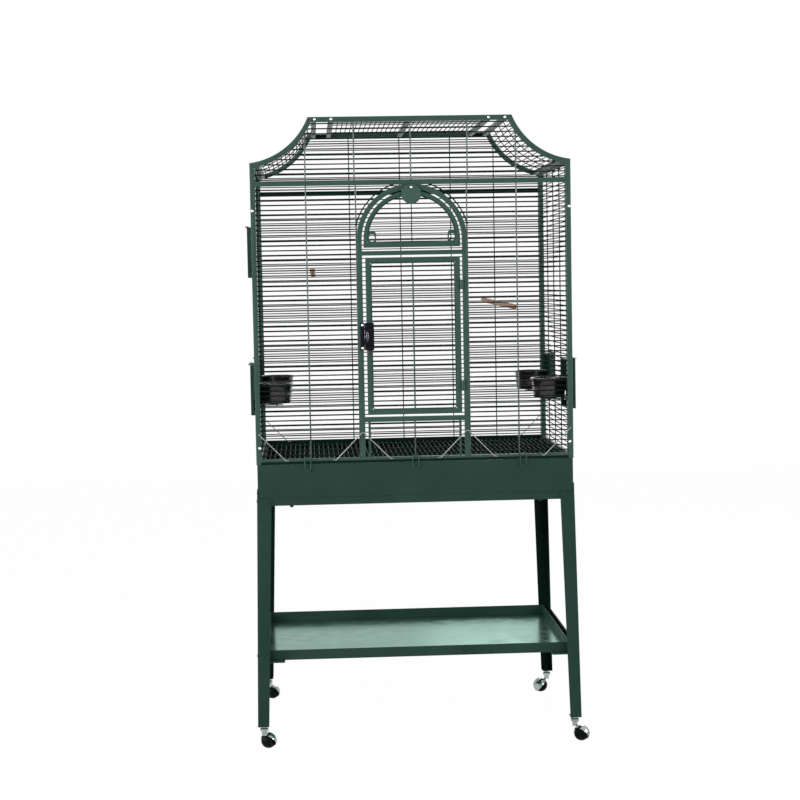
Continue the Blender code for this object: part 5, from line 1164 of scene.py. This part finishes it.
# The floor grate and its three pull loops
GRATE_HALF = 0.3932
GRATE_FRONT = FRONT + 0.0006
GRATE_BACK = BACK - TUBE - 0.0006
GRATE_Z = 0.7366 + 0.00295
GRATE_EDGE = 0.003
PULLS = (-0.276, 0.0, 0.276)
PULL_RADIUS = 0.0075
PULL_HEIGHTS = (0.7175 + 0.009, 0.7392, 0.7545 - 0.009)


def make_base():
    for name in ("base_wall_left", "base_wall_right", "base_wall_back"):
        soft_copy(name, name + "_sheet", SHEET_COAT, "cage", 0.0004)
    soft_copy("waste_tray", "tray_sheet", SHEET_COAT, "waste_tray", 0.0004)
    shape = bmesh.new()
    x, front, back = GRATE_HALF - GRATE_EDGE, GRATE_FRONT + GRATE_EDGE, GRATE_BACK - GRATE_EDGE
    path = [(-x, front), (x, front), (x, back), (-x, back)]
    add_tube(shape, path, GRATE_EDGE, 0.00294, GRATE_Z, plan_view, closed=True, radius=0.0007)
    # The grate's edge bars take the darker coat with painted shade.
    finish("grate_edge_bars", shape, PAINTED_SHADE_COAT, "floor_grate", ("floor_grate",))
    lines = []
    width = 2 * (GRATE_HALF - 0.006)
    count = int(width / PITCH)
    z = GRATE_Z + WEAVE
    for index in range(1, count):
        x = -GRATE_HALF + 0.006 + width * index / count
        lines.append([(x, GRATE_FRONT + 0.005, z), (x, GRATE_BACK - 0.005, z)])
    for index in range(1, 5):
        y = GRATE_FRONT + (GRATE_BACK - GRATE_FRONT) * index / 5
        lines.append(level_wire(GRATE_HALF - 0.005, y, GRATE_Z - WEAVE))
    # The grate wires take their darker coat with painted shade.
    wires("grate_wires", lines, "floor_grate", coat=PAINTED_SHADE_GRATE_COAT)
    make_pulls()


def make_pulls():
    y = FRONT - 0.003
    foot, root, head = PULL_HEIGHTS
    lines = []
    for x in PULLS:
        outline = arc(x, head, PULL_RADIUS, 0.0, math.pi, 10) + arc(x, foot, PULL_RADIUS, math.pi, 2 * math.pi, 10)
        ring = [(u, y, v) for u, v in outline]
        lines.append(ring + [ring[0]])
        for end in (x - PULL_RADIUS, x + PULL_RADIUS):
            lines.append([(end, y, root), (end, FRONT + 0.002, root)])
    wires("grate_pulls", lines, "floor_grate", (), TUBE_COAT, 0.0014, 10)


SHELF_HALF = (0.3930, 0.2565)
SHELF_HEIGHTS = (0.2300, 0.2560)
SHELF_SHEET = 0.0015


def make_stand():
    for place in ("front_left", "front_right", "back_left", "back_right"):
        # Front legs keep the leg coat; back legs take the darker coat with painted shade.
        coat = LEG_COAT if place.startswith("front") else PAINTED_SHADE_COAT
        soft_copy(f"leg_{place}", f"leg_{place}_angle", coat, "cage", 0.0005)
    for place in ("front", "back", "left", "right"):
        soft_copy(f"stand_rail_{place}", f"stand_rail_{place}_angle", SHEET_COAT, "cage", 0.0004)
    for place in ("left", "right"):
        soft_copy(f"shelf_support_{place}", f"shelf_support_{place}_angle", SHEET_COAT, "cage", 0.0005)
    (x, y), (low, high) = SHELF_HALF, SHELF_HEIGHTS
    inner_x, inner_y = x - SHELF_SHEET, y - SHELF_SHEET
    shape = bmesh.new()
    add_ring_slab(shape, [(-x, -y), (x, -y), (x, y), (-x, y)],
                  [(-inner_x, -inner_y), (inner_x, -inner_y), (inner_x, inner_y), (-inner_x, inner_y)],
                  low, high, plan_view)
    finish("lower_shelf_lips", shape, SHEET_COAT, "cage", ("lower_shelf",), bevel=0.0004)
    shape = bmesh.new()
    add_box(shape, (-inner_x, -inner_y, low), (inner_x, inner_y, low + SHELF_SHEET))
    finish("lower_shelf_floor", shape, SHELF_COAT, "cage")


def make_feeder_doors():
    for name, hatches in HATCHES.items():
        for _, _, label in hatches:
            node = f"feeder_door_{name}_{label}"
            soft_copy(node, node + "_plate", SHEET_COAT, node, 0.0003)


# Casters: the corner, how far the hood is swivelled and which way its dome leans, in degrees
CASTERS = {
    "front_left": (-1, -1, 56.0, 56.0), "front_right": (1, -1, -30.0, 38.0),
    "back_left": (-1, 1, 57.0, 57.0), "back_right": (1, 1, 180.0, 180.0)}
CASTER_X = 0.4025
CASTER_Y = 0.2640
CASTER_TRAIL = 0.018
BALL_RADIUS = 0.0195
BALL_FLAT = 0.0150
HOOD_INNER = BALL_RADIUS + 0.0010
HOOD_OUTER = BALL_RADIUS + 0.0020
HOOD_TILT = math.radians(50.0)
HUB_TOP = 0.0614
HUB_LOW = BALL_RADIUS + math.sqrt(HOOD_INNER ** 2 - 0.01118 ** 2) + 0.0008


def dome(radius):
    """A quarter circle from the pole to the rim, as (radius, height) points."""
    steps = 14
    angles = [math.pi / 2 * index / steps for index in range(steps + 1)]
    return [(radius * math.sin(angle), radius * math.cos(angle)) for angle in angles]


def make_casters():
    for name, (side_x, side_y, degrees, lean) in CASTERS.items():
        swivel = at(side_x * CASTER_X, side_y * CASTER_Y, 0.0) @ Matrix.Rotation(math.radians(degrees), 4, "Z")
        centre = swivel @ at(CASTER_TRAIL, 0.0, BALL_RADIUS)
        tilt = Matrix.Rotation(math.radians(lean - degrees), 4, "Z") @ Matrix.Rotation(HOOD_TILT, 4, "Y")
        lip = [(HOOD_OUTER + 0.0002, 0.0004), (HOOD_OUTER + 0.0002, -0.0008), (HOOD_INNER, -0.0008)]
        bowl = dome(HOOD_OUTER)[:-1] + lip + dome(HOOD_INNER)[-2::-1]
        hub = [(0.0, HUB_TOP), (0.0062, HUB_TOP), (0.0066, HUB_TOP - 0.0006), (0.0066, HUB_TOP - 0.0040),
               (0.0098, HUB_TOP - 0.0046), (0.0109, HUB_TOP - 0.0058), (0.0110, HUB_TOP - 0.0112),
               (0.0100, HUB_TOP - 0.0124), (0.0070, HUB_TOP - 0.0128), (0.0068, HUB_LOW), (0.0, HUB_LOW)]
        shape = bmesh.new()
        add_turned(shape, bowl, centre @ tilt, 40)
        add_turned(shape, hub, swivel, 36)
        finish(f"caster_{name}_hood", shape, CHROME, f"caster_hood_{name}", (f"caster_hood_{name}",),
               40.0)
        shape = bmesh.new()
        add_turned(shape, ball_profile(), centre @ FACE_FRONT, 48)
        finish(f"caster_{name}_ball", shape, TREAD, f"caster_ball_{name}", (f"caster_ball_{name}",),
               40.0)


def ball_profile():
    """A ball with a groove round its middle and two flat, dimpled ends."""
    start = math.acos(BALL_FLAT / BALL_RADIUS)
    rim = BALL_RADIUS * math.sin(start) * 0.93
    profile = [(0.0, BALL_FLAT - 0.001), (0.0040, BALL_FLAT - 0.001), (0.0046, BALL_FLAT), (rim, BALL_FLAT)]
    end = [(radius, -height) for radius, height in reversed(profile)]
    for index in range(19):
        angle = start + (math.pi - 2 * start) * index / 18
        groove = 0.0006 if index == 9 else 0.0
        profile.append(((BALL_RADIUS - groove) * math.sin(angle), BALL_RADIUS * math.cos(angle)))
    return profile + end


# Where screws sit: (x, z) on a front post, on a back post, and x along the top rail
POST_SCREWS = ((0.4020, 1.380), (0.3970, 0.779))
BACK_POST_SCREWS = ((0.4015, 1.380), (0.4015, 0.779))
TOP_SCREWS = (0.199, 0.2405)
LEG_BOLTS = ((0.4072, 0.6415), (0.4060, 0.6620), (0.4149, 0.2400))


def make_fasteners():
    places = [((side * x, FRONT - 0.0002, z), FORWARD) for side in (-1, 1) for x, z in POST_SCREWS]
    heads("post_screws", places, "cage", 0.0036, 0.0018, SCREW)
    top_z = TOP - HALF_TUBE
    places = [((side * x, FRONT - 0.0002, top_z), FORWARD) for side in (-1, 1) for x in TOP_SCREWS]
    heads("top_rail_screws", places, "cage", 0.0034, 0.0017, SCREW)
    places = [((side * x, BACK + 0.0002, top_z), BACKWARD) for side in (-1, 1) for x in TOP_SCREWS]
    places += [((side * x, BACK + 0.0002, z), BACKWARD) for side in (-1, 1) for x, z in BACK_POST_SCREWS]
    heads("back_screws", places, "cage", 0.0036, 0.0018, SCREW)
    places = [((side * POST_X, y, SHOULDER - TUBE - 0.0002), DOWN) for side in (-1, 1) for y in (-0.100, 0.0)]
    places += [((side * 0.319, -0.2540, 0.6292), DOWN) for side in (-1, 1)]
    heads("rail_bolts", places, "cage", 0.0052, 0.0045, SCREW_DARK, 6)
    places = [((side * (HALF + HAIR), y, z), (side, 0, 0)) for side in (-1, 1) for y in (-0.200, 0.200)
              for z in (SHOULDER - HALF_TUBE, PANEL_BOTTOM + HALF_TUBE)]
    heads("side_screws", places, "cage", 0.0034, 0.0017, SCREW)
    places = []
    for side in (-1, 1):
        places += [((side * x, y, z), (side, 0, 0)) for y in (-0.2450, 0.2450) for x, z in LEG_BOLTS]
        places += [((side * 0.3820, -0.2689, 0.6415), FORWARD), ((side * 0.3820, 0.2689, 0.6415), BACKWARD)]
    heads("stand_bolts", places, "cage", 0.0046, 0.0021, SHEET_COAT, 6)


# The camera, solved from tube corners in the photo: place in metres, turns in radians
CAMERA_PLACE = (-0.2671, -4.6121, 1.2009)
CAMERA_YAW, CAMERA_PITCH, CAMERA_ROLL = 0.05274, -0.07018, -0.01802


def make_camera():
    yaw, pitch, roll = CAMERA_YAW, CAMERA_PITCH, CAMERA_ROLL
    ahead = Vector((math.sin(yaw) * math.cos(pitch), math.cos(yaw) * math.cos(pitch), math.sin(pitch)))
    right = Vector((math.cos(yaw), -math.sin(yaw), 0.0))
    up = right.cross(ahead)
    columns = (right * math.cos(roll) + up * math.sin(roll), up * math.cos(roll) - right * math.sin(roll), -ahead)
    matrix = Matrix(columns).transposed().to_4x4()
    matrix.translation = Vector(CAMERA_PLACE)
    data = bpy.data.cameras.new("camera")
    data.lens = 77.0
    data.sensor_width = 36.0
    data.clip_end = 100.0
    camera = bpy.data.objects.new("camera", data)
    camera.matrix_world = matrix
    bpy.context.scene.collection.objects.link(camera)
    bpy.context.scene.camera = camera


def background_mask(tree):
    """One for rays that should see the white background: camera, glossy and transmitted."""
    path = tree.nodes.new("ShaderNodeLightPath").outputs
    seen = math_node(tree, "MAXIMUM", path["Is Camera Ray"], path["Is Glossy Ray"])
    return math_node(tree, "MAXIMUM", seen, path["Is Transmission Ray"])


# Area lights: name, place, what it looks at, size and power
LIGHTS = (
    ("key", (-2.4, -3.0, 2.3), (0.0, 0.0, 1.0), 1.4, 62.0),
    ("fill", (2.4, -2.9, 1.5), (0.0, 0.0, 0.9), 1.6, 34.0),
    ("left strip", (-3.0, -1.1, 1.3), (0.0, 0.0, 1.1), 0.9, 60.0),
    ("right strip", (3.0, -0.9, 1.3), (0.0, 0.0, 1.1), 0.9, 36.0),
    ("back", (1.2, 3.6, 2.4), (0.0, 0.0, 0.9), 2.0, 40.0))


def make_floor():
    """A floor that takes light like grey card but looks white to the camera."""
    floor = bmesh.new()
    add_box(floor, (-6.0, -7.0, -0.02), (6.0, 6.0, 0.0))
    mesh = bpy.data.meshes.new("studio_floor")
    floor.to_mesh(mesh)
    floor.free()
    material = bpy.data.materials.new("white floor")
    material.use_nodes = True
    tree = material.node_tree
    shader = tree.nodes["Principled BSDF"]
    shader.inputs["Base Color"].default_value = (0.6, 0.6, 0.6, 1)
    shader.inputs["Roughness"].default_value = 0.6
    glow = tree.nodes.new("ShaderNodeEmission")
    glow.inputs["Strength"].default_value = 1.0
    mix = tree.nodes.new("ShaderNodeMixShader")
    link(tree, map_range(tree, background_mask(tree), 0.0, 0.985, 0.0, 1.0), mix.inputs["Fac"])
    link(tree, shader.outputs["BSDF"], mix.inputs[1])
    link(tree, glow.outputs["Emission"], mix.inputs[2])
    link(tree, mix.outputs["Shader"], tree.nodes["Material Output"].inputs["Surface"])
    mesh.materials.append(material)
    plane = bpy.data.objects.new("studio_floor", mesh)
    bpy.context.scene.collection.objects.link(plane)


def make_studio():
    world = bpy.data.worlds.new("studio")
    bpy.context.scene.world = world
    world.use_nodes = True
    tree = world.node_tree
    background = tree.nodes["Background"]
    background.inputs["Color"].default_value = (1, 1, 1, 1)
    link(tree, map_range(tree, background_mask(tree), 0.22, 1.0, 0.0, 1.0), background.inputs["Strength"])
    make_floor()
    for name, place, target, size, power in LIGHTS:
        light = bpy.data.lights.new(name, "AREA")
        light.size = size
        light.energy = power
        lamp = bpy.data.objects.new(name, light)
        lamp.location = place
        lamp.rotation_euler = (Vector(target) - Vector(place)).to_track_quat("-Z", "Y").to_euler()
        bpy.context.scene.collection.objects.link(lamp)
    bpy.context.scene.view_settings.view_transform = "Standard"


make_camera()
make_front()
make_back()
make_side(-1, "left")
make_side(1, "right")
make_top()
make_curve(-1, "left")
make_curve(1, "right")
make_hinges()
make_main_door()
make_arch_door()
make_latch_disc()
make_lock()
make_cups()
make_perches()
make_stays()
make_base()
make_stand()
make_feeder_doors()
make_casters()
make_fasteners()
make_studio()
